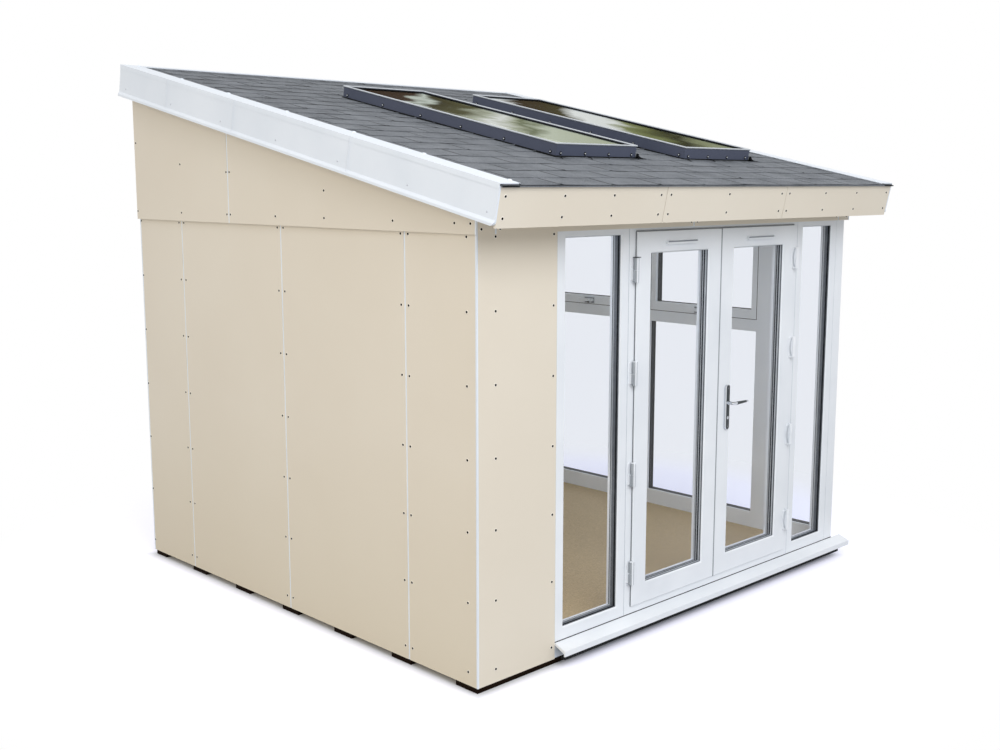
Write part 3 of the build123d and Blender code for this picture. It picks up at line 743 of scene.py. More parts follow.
@dataclass(frozen=True)
class PaintedReflectionGlass(FloatGlass):
    """Roof glass at a wood's edge, with a painted reflection of trunks, leaves and the sky between them."""

    patch: float = 0.3  # size of the leaf masses that bend the edges of the patches
    bend: float = 0.22  # how far they bend them
    span: float = 4.4  # length of the run of patches, over both panes
    start: float = -1.0  # where the run begins, along the diagonal from the back left
    right_pane: float = 0.2  # the right pane lies beyond this X
    second: float = 1.62  # how much further on the right pane's run begins
    patches: tuple[tuple[float, str], ...] = (
        (0.00, "#3a2f26"),
        (0.50, "#4b3d30"),
        (0.58, "#c9d2c8"),
        (0.66, "#4a4632"),
        (0.84, "#5c5a40"),
        (0.95, "#aeb3a0"),
        (1.06, "#e4e7e2"),
        (1.16, "#a9ae98"),
        (1.22, "#767c60"),
        (1.32, "#c4cbb8"),
        (1.70, "#b3baa2"),
        (2.10, "#e3e8e6"),
        (2.66, "#e6eae8"),
        (2.76, "#463b2d"),
        (3.04, "#4f4a33"),
        (3.16, "#e6eae8"),
        (3.36, "#e2e6e2"),
        (3.46, "#83895f"),
        (3.58, "#6f744c"),
        (3.72, "#3d3c29"),
        (3.90, "#8b9070"),
        (4.20, "#a5aa92"),
    )

    def paint_reflection(self, tree: Tree, skin: Node, place: Socket) -> None:
        """Paints the reflection into the mirror skin along the diagonal, (x - y) / root 2, its bands bent by
        noise.

        Args:
            tree: The material's node tree.
            skin: The mirror skin's shader.
            place: The object coordinates.
        """
        across = add(tree, "ShaderNodeSeparateXYZ", {"Vector": place}).outputs
        leaves = add(tree, "ShaderNodeTexNoise", {"Vector": place, "Scale": 1 / self.patch, "Detail": 4.0})
        swing = add(tree, MATH, {0: leaves.outputs["Fac"], 1: 0.5}, operation="SUBTRACT").outputs[0]
        bent = add(tree, MATH, {0: swing, 1: 2 * self.bend}, operation="MULTIPLY").outputs[0]
        on_right = add(tree, MATH, {0: across["X"], 1: self.right_pane}, operation="GREATER_THAN").outputs[0]
        further = add(tree, MATH, {0: on_right, 1: self.second}, operation="MULTIPLY").outputs[0]
        run = across["X"]
        for operation, second in (
            ("SUBTRACT", across["Y"]),
            ("MULTIPLY", math.sqrt(0.5)),
            ("ADD", further),
            ("ADD", bent),
            ("SUBTRACT", self.start),
            ("DIVIDE", self.span),
        ):
            run = add(tree, MATH, {0: run, 1: second}, operation=operation).outputs[0]
        ramp = add(tree, "ShaderNodeValToRGB", {"Fac": run})
        elements = ramp.color_ramp.elements
        while len(elements) < len(self.patches):
            elements.new(0.5)
        for element, (distance, colour) in zip(elements, self.patches):
            element.position, element.color = distance / self.span, linear(colour)
        tree.links.new(ramp.outputs["Color"], skin.inputs["Color"])


@dataclass(frozen=True)
class StageFloor(Finish):
    """A white studio sheet: bright to the eye, softer as a reflector, with the part's shadow and painted
    shade under it.
    """

    bounce: str = "#b0b2b4"
    # the glow's violet shows where the sheet is shaded near the part, a painted tint of the shade
    glow: str = "#e5e3fc"
    lift: float = 0.5  # strength of the glow
    near: float = 2.3  # where the sheet starts to turn to plain white
    far: float = 3.3  # where it has
    footprint: tuple[float, float] = (1.5, 1.48)  # half width and depth of the part on it, where the glow is left off as painted shade
    fade: float = 0.1  # how far outside the footprint the lift is full

    def surface(self, tree: Tree, place: Socket) -> Socket:
        """Shows white to the eye and to mirrors, and a mid grey to the light that it sends back.

        Args:
            tree: The material's node tree.
            place: The object coordinates.

        Returns:
            The socket that goes to the output.
        """
        rays = add(tree, "ShaderNodeLightPath").outputs
        direct, mirrored = rays["Is Camera Ray"], rays["Is Glossy Ray"]
        seen = add(tree, MATH, {0: direct, 1: mirrored}, operation="MAXIMUM").outputs[0]
        sheet = add(tree, "ShaderNodeBsdfDiffuse", {"Color": linear(self.colour)}).outputs[0]
        lift = {"Color": linear(self.glow), "Strength": self.lift_with_painted_shade(tree, place)}
        glow = add(tree, "ShaderNodeEmission", lift).outputs[0]
        bright = add(tree, "ShaderNodeAddShader", {0: sheet, 1: glow}).outputs[0]
        away = add(tree, "ShaderNodeVectorMath", {0: place}, operation="LENGTH").outputs["Value"]
        span = {"Value": away, "From Min": self.near, "From Max": self.far}
        share = add(tree, "ShaderNodeMapRange", span, interpolation_type="SMOOTHSTEP").outputs["Result"]
        white = add(tree, "ShaderNodeEmission", {"Color": linear("#ffffff"), "Strength": 1.0}).outputs[0]
        faded = add(tree, "ShaderNodeMixShader", {0: share, 1: bright, 2: white}).outputs[0]
        dull = add(tree, "ShaderNodeBsdfDiffuse", {"Color": linear(self.bounce)}).outputs[0]
        return add(tree, "ShaderNodeMixShader", {0: seen, 1: dull, 2: faded}).outputs[0]

    def lift_with_painted_shade(self, tree: Tree, place: Socket) -> Socket:
        """The lift: none under the part, as painted shade, full from the fade's width outside its footprint.

        Args:
            tree: The material's node tree.
            place: The object coordinates.

        Returns:
            The strength of the glow.
        """
        across = add(tree, "ShaderNodeSeparateXYZ", {"Vector": place}).outputs
        gaps = []
        for axis, half in zip("XY", self.footprint):
            reach = add(tree, MATH, {0: across[axis]}, operation="ABSOLUTE").outputs[0]
            gaps.append(add(tree, MATH, {0: reach, 1: half}, operation="SUBTRACT").outputs[0])
        outside = add(tree, MATH, dict(enumerate(gaps)), operation="MAXIMUM").outputs[0]
        span = {"Value": outside, "From Max": self.fade, "To Max": self.lift}
        return add(tree, "ShaderNodeMapRange", span, interpolation_type="SMOOTHSTEP").outputs["Result"]


# Boards and walls: warm satin cream, darker and yellower low down except on the front, and a paler lining.
CREAM_BOARD = PaintedBoard("cream_masonry_paint", "#e7dfcf", 0.55, shade="#e3dac9", ground_tint_share=0.4)
LINING = PaintedBoard("pale_wall_lining", "#eceae4", 0.6, shade="#e4e1da")
# White trims: foamed PVC is duller and bluer than extruded uPVC, and the hinges' enamel is finer.
WHITE_TRIM = Extrusion("white_cellular_pvc", "#ebf2fa", 0.35, shade="#e3ebf4")
WHITE_UPVC = Extrusion("white_upvc_extrusion", "#eef2f6", 0.22)
WHITE_ENAMEL = Extrusion("white_enamelled_zinc", "#eceff3", 0.3, ripple=3.0 * MM)
# Joint lines and pins of the trims, and painted shade on the hinges: the same plastics, a little greyer.
PALE_JOINT = Extrusion("pale_trim_joint", "#cfd4dc", 0.4, shade="#c8cdd6")
FAINT_JOINT = Extrusion("faint_trim_joint", "#dee4ec", 0.4, shade="#d7dde6")
HINGE_PAINTED_SHADE = Extrusion("hinge_painted_shade", "#a2a8ae", 0.4, shade="#9aa0a6")
HINGE_PAINTED_EDGE_SHADE = Extrusion("hinge_edge_painted_shade", "#c3c9cf", 0.4, shade="#bbc1c7")
# Roof: gritty slate grey, with dark bitumen where it is cut and greyer bitumen where it has weathered;
# the dark bitumen also paints the shadow in the shingles' slots.
SLATE_FELT = MineralFelt("slate_granule_felt", "#7d8288", 0.85)
CUT_FELT_AND_SLOT_SHADOW = DullSkin("cut_bitumen_and_slot_shadow", "#34373b", 0.8, shade="#424549")
WORN_FELT = DullSkin("worn_bitumen_edge", "#666a71", 0.85, shade="#72767c")
# Kerbs: blue-grey powder coat, satin, with a bare cut edge that glints.
ANTHRACITE = PowderCoat("anthracite_powder_coat", "#4d5366", 0.5, shade="#434a5d")
CUT_ALUMINIUM = BrightMetal("cut_aluminium_edge", "#d5dae0", 0.5)
# Glass: clear where the room shows through, and strongly mirroring on the roof, with a painted reflection of
# trees.
CLEAR_GLASS = FloatGlass("clear_float_glass", "#f9fafc", 0.0)
ROOF_GLASS = PaintedReflectionGlass("roof_glass_painted_reflection", "#eef2f1", 0.02, ior=1.5, sheets=4.0)
# Timber: nearly black bearers, and a tan floor with a mottle of chips.
DARK_TIMBER = SawnTimber("treated_softwood", "#1d1007", 0.9, gloss=0.1)
FLOOR_BOARD = Chipboard("particle_board", "#bca67f", 0.6, shade="#a48d64", light="#d1b888")
# Furniture and fixings: mirror-bright plate, its faces with a painted dark reflection, and bronzed screws in
# nylon washers.
CHROME = BrightMetal("polished_chrome_plate", "#c9cdd3", 0.12)
CHROME_PAINTED_DARK = PowderCoat("chrome_painted_dark_reflection", "#222c31", 0.45, shade="#1b2328")
SCREW_STEEL = PowderCoat("bronzed_screw_steel", "#15100b", 0.8, 0.1, shade="#0f0c09")
NYLON = Extrusion("natural_nylon_washer", "#fbf7ec", 0.5, shade="#f4efe2")
HEADS = (SCREW_STEEL, NYLON)
# Seals: matt EPDM and butyl near black, and the greys of wedges, brushes, mastic and spacer bars.
# The black and the butyl also serve as painted shadow, and the wedge, seal and vent greys as painted shade.
BLACK_SEAL_AND_SHADOW = DullSkin("black_epdm_and_painted_shadow", "#0e1012", 0.7, 0.15, shade="#17191b")
BUTYL_AND_SHADOW = DullSkin("dark_butyl_and_painted_shadow", "#171b20", 0.5, 0.2, shade="#1f242a")
SEAL_GREY_AND_REVEAL_SHADE = DullSkin("grey_seal_and_reveal_shade", "#5f646b", 0.6, shade="#6c7178")
VENT_GREY_AND_SHADE = DullSkin("vent_mesh_and_painted_shade", "#8c9196", 0.6, shade="#959aa0")
GREY_MASTIC = DullSkin("grey_frame_mastic", "#9aa3ad", 0.5, shade="#aab1b9")
WEDGE_GREY_AND_REBATE_SHADE = DullSkin("grey_wedge_and_rebate_shade", "#a4aab0", 0.5, shade="#aeb4ba")
MILL_ALUMINIUM = DullSkin("mill_aluminium_spacer", "#b9bec4", 0.5, shade="#c3c8cd")

SLOT_FINISH = {
    Slot.BEARER: DARK_TIMBER,
    Slot.FLOOR: FLOOR_BOARD,
    Slot.CORE: LINING,
    Slot.BOARD: CREAM_BOARD,
    Slot.TRIM: WHITE_TRIM,
    Slot.SHINGLE: SLATE_FELT,
    Slot.METAL: ANTHRACITE,
    Slot.GLASS: CLEAR_GLASS,
    Slot.UPVC: WHITE_UPVC,
    Slot.HARDWARE: WHITE_ENAMEL,
    Slot.CHROME: CHROME,
}


def grown(outline: Outline, growth: float) -> Outline:
    """The outline moved outwards by growth on every side."""
    left, right, low, high = outline
    return left - growth, right + growth, low - growth, high + growth


def outline_of(node: str, first: int, second: int) -> Outline:
    """A node's box, in millimetres, seen along the axis that is neither the first nor the second."""
    low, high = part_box(node)
    return low[first] / MM, high[first] / MM, low[second] / MM, high[second] / MM


def make(
    name: str, surface: Surface, finishes: Sequence[Finish], body: Body, slot: Slot, *replaced: str
) -> None:
    """Turns a surface into a finished piece that rides on a body.

    Args:
        name: The piece's name.
        surface: Its shape, in millimetres.
        finishes: The finish of each tone.
        body: The body that it rides on.
        slot: The record's slot that it takes its finish from.
        replaced: The nodes that it stands for.
    """
    mesh = bpy.data.meshes.new(name)
    mesh.from_pydata((surface.points * MM).tolist(), [], surface.faces.tolist())
    for finish in finishes:
        mesh.materials.append(finish.material())
    mesh.polygons.foreach_set("material_index", surface.tones.astype(np.int32))
    mesh.polygons.foreach_set("use_smooth", np.ones(len(surface.faces), bool))
    mesh.set_sharp_from_angle(angle=SMOOTH_ANGLE)
    mesh.update()
    made = bpy.data.objects.new(name, mesh)
    bpy.context.scene.collection.objects.link(made)
    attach(made, body.value)
    if replaced:
        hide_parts(*replaced)
    log.info("%s: %d faces on %s", name, len(surface.faces), body.value)


# ---------------------------------------------------------------- roof
@dataclass
class ShingleRoof:
    """Strip shingles: each course is a strip of tabs, slotted up to the next one, on the one below."""

    tab: float = 340.0
    first_line: float = 139.6  # up the slope to the first butt that shows
    exposure: float = 160.4
    first_slot: float = -1268.0  # a slot of the lowest course; the next course's lie half a tab on
    slot_width: float = 9.0
    slot_end: float = 3.0  # how far short of the next butt a slot ends
    thickness: float = 2.0
    top: float = -1.4  # a course's face at its butt, from the plane of the roof
    step: float = 2.2  # fall of a course's top from its butt to the next one's
    lowest: float = -7.95  # no course reaches below this
    slot_shadow_faces: tuple[float, float] = (-7.5, -4.6)  # lower and upper face of the dark bar painted as the shadow in a slot
    underlay_faces: tuple[float, float] = (-6.6, -7.9)  # upper and lower face of the underlay
    overhang: float = 9.0
    length: float = 3287.0
    verge: float = 1612.0
    flat_edge: float = 140.0  # width beside the verge that lies flat
    curl: float = 4.5  # most that a corner beside a slot lifts
    curl_reach: float = 26.0
    edge_step: float = 8.0  # width of the grid's cells beside a slot and above a butt
    line_steps: tuple[float, ...] = (125.0, 85.0, 50.0)  # from a slot's middle to grid lines past its curl
    middle_row: float = 70.0  # from the butt to the grid row across the middle of a tab
    kerb_curl: float = 8.0  # how much the corners left of a kerb lift
    kerb_reach: float = 55.0
    wander: float = 3.0  # how far a butt strays from its line
    wander_lengths: tuple[float, ...] = (620.0, 230.0, 97.0)
    wander_shares: tuple[float, ...] = (0.55, 0.3, 0.25)
    swell: float = 1.3  # height of the waves that the whole sheet lies in
    wear_length: float = 95.0  # stretch of a butt that has one tone
    seed: int = 12

    def build(self) -> None:
        """Lays every course and the drip strip under the first."""
        draws = np.random.default_rng(self.seed)
        kerbs = [kerb.outline for kerb in SKYLIGHTS]
        count = math.ceil((self.length - self.first_line) / self.exposure) + 1
        courses = [self.course(number, kerbs, draws) for number in range(count)]
        drip = block((-ROOF_EDGE + 3, -12.0, -11.0), (ROOF_EDGE - 3, 3.0, -6.0))
        surface = SLOPE.place(joined([*courses, self.underlay(kerbs), drip]))
        finishes = (SLATE_FELT, CUT_FELT_AND_SLOT_SHADOW, WORN_FELT)
        make("shingle_courses", surface, finishes, Body.ROOM, Slot.SHINGLE, "roof_covering")

    def underlay(self, kerbs: Sequence[Outline]) -> Surface:
        """One thin slab under everything, open at the kerbs.

        Args:
            kerbs: Outlines that it stays out of.

        Returns:
            The slab, between the two flat faces of the underlay.
        """
        lines = np.array(sorted({edge for kerb in kerbs for edge in kerb[:2]} | {-self.verge, self.verge}))
        rows = np.array(sorted({edge for kerb in kerbs for edge in kerb[2:]} | {-self.overhang, self.length}))
        across, along = np.meshgrid(lines, rows)
        flat = [np.stack([across, along, np.full(across.shape, z)], -1) for z in self.underlay_faces]
        return slab_grid(*flat, self.outside(lines, rows, kerbs))

    def outside(self, lines: Array, rows: Array, kerbs: Sequence[Outline]) -> Array:
        """Which cells of a grid have their middle outside every kerb.

        Args:
            lines: Where the grid has its lines.
            rows: Where it has its rows.
            kerbs: The kerbs' outlines.

        Returns:
            (rows - 1, lines - 1) truths.
        """
        x, y = np.meshgrid((lines[1:] + lines[:-1]) / 2, (rows[1:] + rows[:-1]) / 2)
        inside = [(x > kerb[0]) & (x < kerb[1]) & (y > kerb[2]) & (y < kerb[3]) for kerb in kerbs]
        return ~np.any(inside, axis=0)

    def slots(self, number: int) -> Array:
        """Where a course has its slots, half a tab on from the last course's.

        Args:
            number: 0 for the lowest course.

        Returns:
            The slots' middles, from the left verge to the right one.
        """
        shift = self.first_slot + self.tab / 2 * (number % 2)
        near = math.ceil((-self.verge - shift) / self.tab)
        places = shift + self.tab * np.arange(near, near + math.floor(2 * self.verge / self.tab) + 1)
        return places[np.abs(places) < self.verge - self.slot_width]

    def lines(self, slots: Array, kerbs: Sequence[Outline]) -> Array:
        """Where a course's grid has its lines: closer towards the slots, and at the kerbs.

        Args:
            slots: The slots' middles.
            kerbs: The kerbs' outlines.

        Returns:
            The lines, in order.
        """
        half, reach = self.slot_width / 2, self.kerb_reach
        near = (self.curl_reach, half + self.edge_step, half)
        steps = np.array([self.tab / 2, *self.line_steps, *near])
        offsets = np.concatenate([-steps, steps[::-1]])
        edges = [v for kerb in kerbs for v in (*kerb[:2], kerb[0] - reach, kerb[0] - reach / 2)]
        lines = np.concatenate([(slots[:, None] + offsets).ravel(), edges, [-self.verge, self.verge]])
        return np.unique(np.round(lines[np.abs(lines) <= self.verge], 3))

    def rows(self, butt: float, visible: float, kerbs: Sequence[Outline]) -> Array:
        """Where a course's grid has its rows: closer towards the butt, and at slots' ends and kerbs.

        Args:
            butt: Where the course's butt lies.
            visible: How much of it shows below the next butt.
            kerbs: The kerbs' outlines.

        Returns:
            The rows, in order.
        """
        head = min(butt + 2 * self.exposure, self.length)
        steps = (0.0, self.edge_step, self.curl_reach, self.middle_row, visible - self.slot_end)
        rows = [butt + step for step in steps] + [head]
        rows += [edge for kerb in kerbs for edge in kerb[2:] if butt < edge < head]
        return np.unique([row for row in rows if row <= head])

    def rolling(self, lines: Array, rows: Array) -> Array:
        """The sheet's waves: swell · (0.4 + (sin(x / 118 + y / 205 + 1) + sin(x / 71 - y / 143)) / 2)."""
        waves = np.sin(lines / 118.0 + rows[:, None] / 205.0 + 1.0) + np.sin(
            lines / 71.0 - rows[:, None] / 143.0
        )
        return self.swell * (waves * 0.5 + 0.4)

    def course(self, number: int, kerbs: Sequence[Outline], draws: np.random.Generator) -> Surface:
        """One course.

        Its top falls evenly by the step from its butt to where the next butt lies on it, and its butt
        wanders by three sine waves.

        Args:
            number: 0 for the lowest course.
            kerbs: Outlines that it stays out of.
            draws: The source of its random lifts and phases.

        Returns:
            The course, on the slope.
        """
        butt = self.first_line + (number - 1) * self.exposure if number else -self.overhang
        visible = self.first_line + number * self.exposure - butt
        slots = self.slots(number)
        lines, rows = self.lines(slots, kerbs), self.rows(butt, visible, kerbs)
        lift = self.lifts(lines, slots, draws)
        phase = draws.uniform(0, 2 * math.pi, len(self.wander_lengths))
        turns = lines[:, None] * (2 * math.pi / np.array(self.wander_lengths)) + phase
        stray = np.sin(turns) @ np.array(self.wander_shares)
        inboard = np.clip((self.verge - self.flat_edge - np.abs(lines)) / 60, 0, 1)
        past = rows - butt
        near_butt = np.clip(1 - past / self.curl_reach, 0, 1)[:, None]
        raised = near_butt * (lift + 0.6 * (stray + 0.6)) * inboard
        raised = raised + self.rolling(lines, rows) * inboard
        top = self.top - self.step / self.exposure * past[:, None] + raised
        bottom = np.maximum(top - self.thickness, self.lowest)
        for left, _, low, high in kerbs:
            beside = np.clip(1 - (left - lines) / self.kerb_reach, 0, 1) ** 2 * (lines <= left + 0.01)
            if low < butt < high:
                top = top + self.kerb_curl * beside * draws.uniform(0.2, 1.0) * near_butt
        across, along = np.meshgrid(lines, rows)
        along = along + (past[:, None] < 10) * stray * self.wander * (number > 0)
        x, y = np.meshgrid((lines[1:] + lines[:-1]) / 2, (past[1:] + past[:-1]) / 2)
        in_slot = (np.abs(x[..., None] - slots).min(-1) < self.slot_width / 2) & (y < visible - self.slot_end)
        kept = self.outside(lines, rows, kerbs) & ~in_slot
        sheet = slab_grid(np.stack([across, along, top], -1), np.stack([across, along, bottom], -1), kept)
        slot_shadows = self.painted_slot_shadows(slots, butt, butt + visible, kerbs)
        return joined([self.worn(sheet, butt, draws), *slot_shadows])

    def lifts(self, lines: Array, slots: Array, draws: np.random.Generator) -> Array:
        """How much the butt lifts at each line.

        Args:
            lines: Where the course's grid has its lines.
            slots: The slots' middles.
            draws: The source of the shares.

        Returns:
            The curl times a random share squared, times the square of 1 less the distance from the
            nearest slot's edge over the curl's reach.
        """
        half = self.slot_width / 2
        gap = np.abs(lines[:, None] - slots).min(1)
        lift = draws.uniform(0.1, 1.0, len(lines)) ** 2 * self.curl
        return lift * (np.clip(1 - (gap - half) / self.curl_reach, 0, 1) ** 2 * (gap >= half - 0.01))

    def painted_slot_shadows(
        self, slots: Array, butt: float, next_butt: float, kerbs: Sequence[Outline]
    ) -> list[Surface]:
        """Dark bars painted as the shadow in a course's slots.

        Args:
            slots: The slots' middles.
            butt: Where the course's butt lies.
            next_butt: Where the next one lies.
            kerbs: The kerbs' outlines.

        Returns:
            A thin bar for each slot that lies wholly outside every kerb.
        """
        half = self.slot_width / 2
        low, high = self.slot_shadow_faces
        end = min(next_butt, self.length) - self.slot_end
        return [
            # tone 1: the cut bitumen colour, painted as the slot's shadow
            block((slot - half, butt, low), (slot + half, end, high)).toned(1)
            for slot in slots
            if self.clear(slot, butt, next_butt, kerbs)
        ]

    def clear(self, slot: float, low: float, high: float, kerbs: Sequence[Outline]) -> bool:
        """Whether a slot lies wholly outside every kerb."""
        return not any(k[0] < slot < k[1] and low < k[3] and high > k[2] for k in kerbs)

    def worn(self, sheet: Surface, butt: float, draws: np.random.Generator) -> Surface:
        """Gives stretches of the butt's edge a worn or a weathered tone, so that its line comes and goes.

        Args:
            sheet: The course.
            butt: Where its butt lies.
            draws: The source of the tones.

        Returns:
            The same course, toned.
        """
        middle = sheet.points[sheet.faces].mean(1)
        edge = (sheet.tones == 1) & (np.abs(middle[:, 1] - butt) < 20)
        stretch = ((middle[:, 0] + self.verge) / self.wear_length).astype(int)
        count = int(2 * self.verge / self.wear_length) + 2
        wear = draws.choice([0, 2] if butt < 0 else [1, 2, 2, 0, 0], count)
        return Surface(sheet.points, sheet.faces, np.where(edge, wear[stretch], sheet.tones))


@dataclass
class Skylight:
    """One fixed roof light: seals, retaining bead, screws and the felt that is dressed up to its kerb."""

    name: str
    node: str
    height: float = 66.0
    lip: float = 14.0
    glass_top: float = 60.0
    gutter: float = 80.0  # felt to the right, dressed up against the kerb
    gutter_rise: float = 26.0
    turned_end: float = 14.0  # the bare bitumen end of that felt, black also as painted shadow of the gap there
    ribbon: float = 9.0
    slit_shadows: tuple[float, ...] = (8.0, 232.0)  # black strips at the kerb's front, painted as the shadow in open slits of the felt
    screw_pitch: float = 340.0
    screw_level: float = 17.0
    bead_radius: float = 5.0
    start: float = 649.0
    length: float = 1796.0

    @property
    def outline(self) -> Outline:
        """The kerb's outline on the slope."""
        left, right, _, _ = outline_of(self.node, 0, 1)
        return left, right, self.start, self.start + self.length

    def build(self) -> None:
        """Makes every piece of this roof light."""
        for part, surface, finishes, slot in (
            ("seal", SLOPE.place(self.seals()), (BLACK_SEAL_AND_SHADOW,), Slot.METAL),
            ("bead", SLOPE.place(self.bead()), (CUT_ALUMINIUM,), Slot.METAL),
            ("screws", self.screws(), (CHROME, BLACK_SEAL_AND_SHADOW), Slot.METAL),
            ("felt", SLOPE.place(self.felt()), (SLATE_FELT, BLACK_SEAL_AND_SHADOW), Slot.SHINGLE),
        ):
            make(f"{self.name}_{part}", surface, finishes, Body.ROOM, slot)

    def seals(self) -> Surface:
        """The glazing gasket inside the lip and the mastic line round the foot of the kerb."""
        inner = grown(self.outline, -self.lip)
        rise = self.glass_top
        gasket = framed(inner, [(-7, rise + 0.2), (-0.3, rise + 0.2), (-0.3, rise + 4.6), (-3, rise + 4.6)])
        mastic = framed(self.outline, [(0.2, -5.0), (6.5, -5.0), (6.5, 1.6), (3.0, 4.4), (0.2, 5.0)])
        return joined([gasket, mastic])

    def bead(self) -> Surface:
        """The bright retaining bead along the kerb's upper outer edge: a small rounded section."""
        angle = np.linspace(-math.pi / 2, math.pi, 7)
        r = self.bead_radius
        arc = np.stack([-0.6 + r * np.cos(angle), self.height + r * np.sin(angle)], -1)
        return framed(self.outline, [(-0.6 - r, self.height - r), *map(tuple, arc)])

    def screws(self) -> Surface:
        """Small pan heads along the foot of all four sides."""
        left, right, low, high = self.outline
        level = self.screw_level
        runs = []
        for side, start, end, out in ((FASCIA, left, right, -low), (KERB_BACK, -right, -left, high)):
            places = [(x, level, out) for x in np.linspace(start + 34, end - 34, 4)]
            runs.append(side.place(SCREW.copies(places)))
        for side, out in ((LEFT_VERGE, -left - ROOF_EDGE), (RIGHT_VERGE, right - ROOF_EDGE)):
            count = round(self.length / self.screw_pitch)
            way = side.along[1] / RUN
            places = [(way * s, level, out) for s in np.linspace(low + 40, high - 40, count + 1)]
            runs.append(side.place(SCREW.copies(places)))
        return joined(runs)

    def felt(self) -> Surface:
        """Felt dressed up against the kerb's right side, cut at every course, with black strips in front
        painted as slit shadows.
        """
        left, right, low, high = self.outline
        gutter = self.cove(self.gutter, self.gutter_rise)
        lines = np.arange(ShingleRoof.first_line, ShingleRoof.length, ShingleRoof.exposure)
        lines = [line for line in lines if low + 20 < line < high - 20]
        parts = []
        for start, end in pieces_between(low - 6, high, lines, 3.0):
            path = np.array([[right + 0.5, end, 0.0], [right + 0.5, start, 0.0]])
            parts.append(self.dark_ends(carried(gutter, path, X, Z)))
        front = low - 6.2
        path = np.array([[right + 0.5, front, 0.0], [right + 0.5, front - self.turned_end, 0.0]])
        parts.append(carried(gutter, path, X, Z).toned(1))
        section = np.array([(0.0, 0.0), (5.0, 0.0), (4.0, 3.4), (1.0, 3.4)])
        bend = np.array([[0.0, 0.0, 2.5], [-2.0, -18.0, 1.2], [-9.0, -38.0, 0.6], [-24.0, -60.0, 0.2]])
        # black strips painted as the shadow in the felt's open slits
        for cut in self.slit_shadows:
            path = bend + (left + cut, low - 4.0, 0.0)
            parts.append(carried(section, path, X, Z).toned(1))
        return joined(parts)

    def cove(self, width: float, rise: float) -> Array:
        """A ribbon of felt in a hollow quarter curve: width out from the kerb, rise up against it.

        Args:
            width: How far it reaches from the kerb.
            rise: How far it climbs the kerb.

        Returns:
            Its section, anticlockwise: points (2 + (width - 2)(1 - sin t), 1.2 + rise (1 - cos t)) and the
            same points a ribbon's thickness lower.
        """
        turn = np.linspace(0, math.pi / 2, 6)
        upper = np.stack([2 + (width - 2) * (1 - np.sin(turn)), 1.2 + rise * (1 - np.cos(turn))], -1)
        under = np.maximum(upper - self.ribbon, (0.0, -1.5))
        return np.concatenate([under[::-1], upper])

    def dark_ends(self, part: Surface) -> Surface:
        """Gives the end faces, which come last, the tone of a cut edge.

        Args:
            part: A closed tube.

        Returns:
            The same tube, its ends in tone 1.
        """
        ends = 2 * len(lid(len(part.points) // 2))
        tones = part.tones.copy()
        tones[-ends:] = 1
        return Surface(part.points, part.faces, tones)


def pieces_between(start: float, end: float, cuts: Sequence[float], gap: float) -> list[tuple[float, float]]:
    """Stretches from start to end, broken by a gap at each cut."""
    edges = [start, *[edge for cut in cuts for edge in (cut - gap / 2, cut + gap / 2)], end]
    return list(zip(edges[0::2], edges[1::2]))


SCREW = joined(
    [
        turned([(9.5, -0.5), (9.5, 0.8), (8.4, 1.2)], 12).toned(1),
        turned([(5.0, 0.3), (5.0, 3.0), (3.8, 4.6), (1.4, 5.4)], 10),
    ]
)
SKYLIGHTS = (
    Skylight("left_skylight", "left_skylight_kerb"),
    Skylight("right_skylight", "right_skylight_kerb"),
)


# ---------------------------------------------------------------- fixings
def crossings(columns: Sequence[float], rows: Sequence[float]) -> Array:
    """Where columns cross rows on a side: (n, 3) places that lie on it."""
    x, y = np.meshgrid(columns, rows)
    return np.stack([x.ravel(), y.ravel(), np.zeros(x.size)], -1)


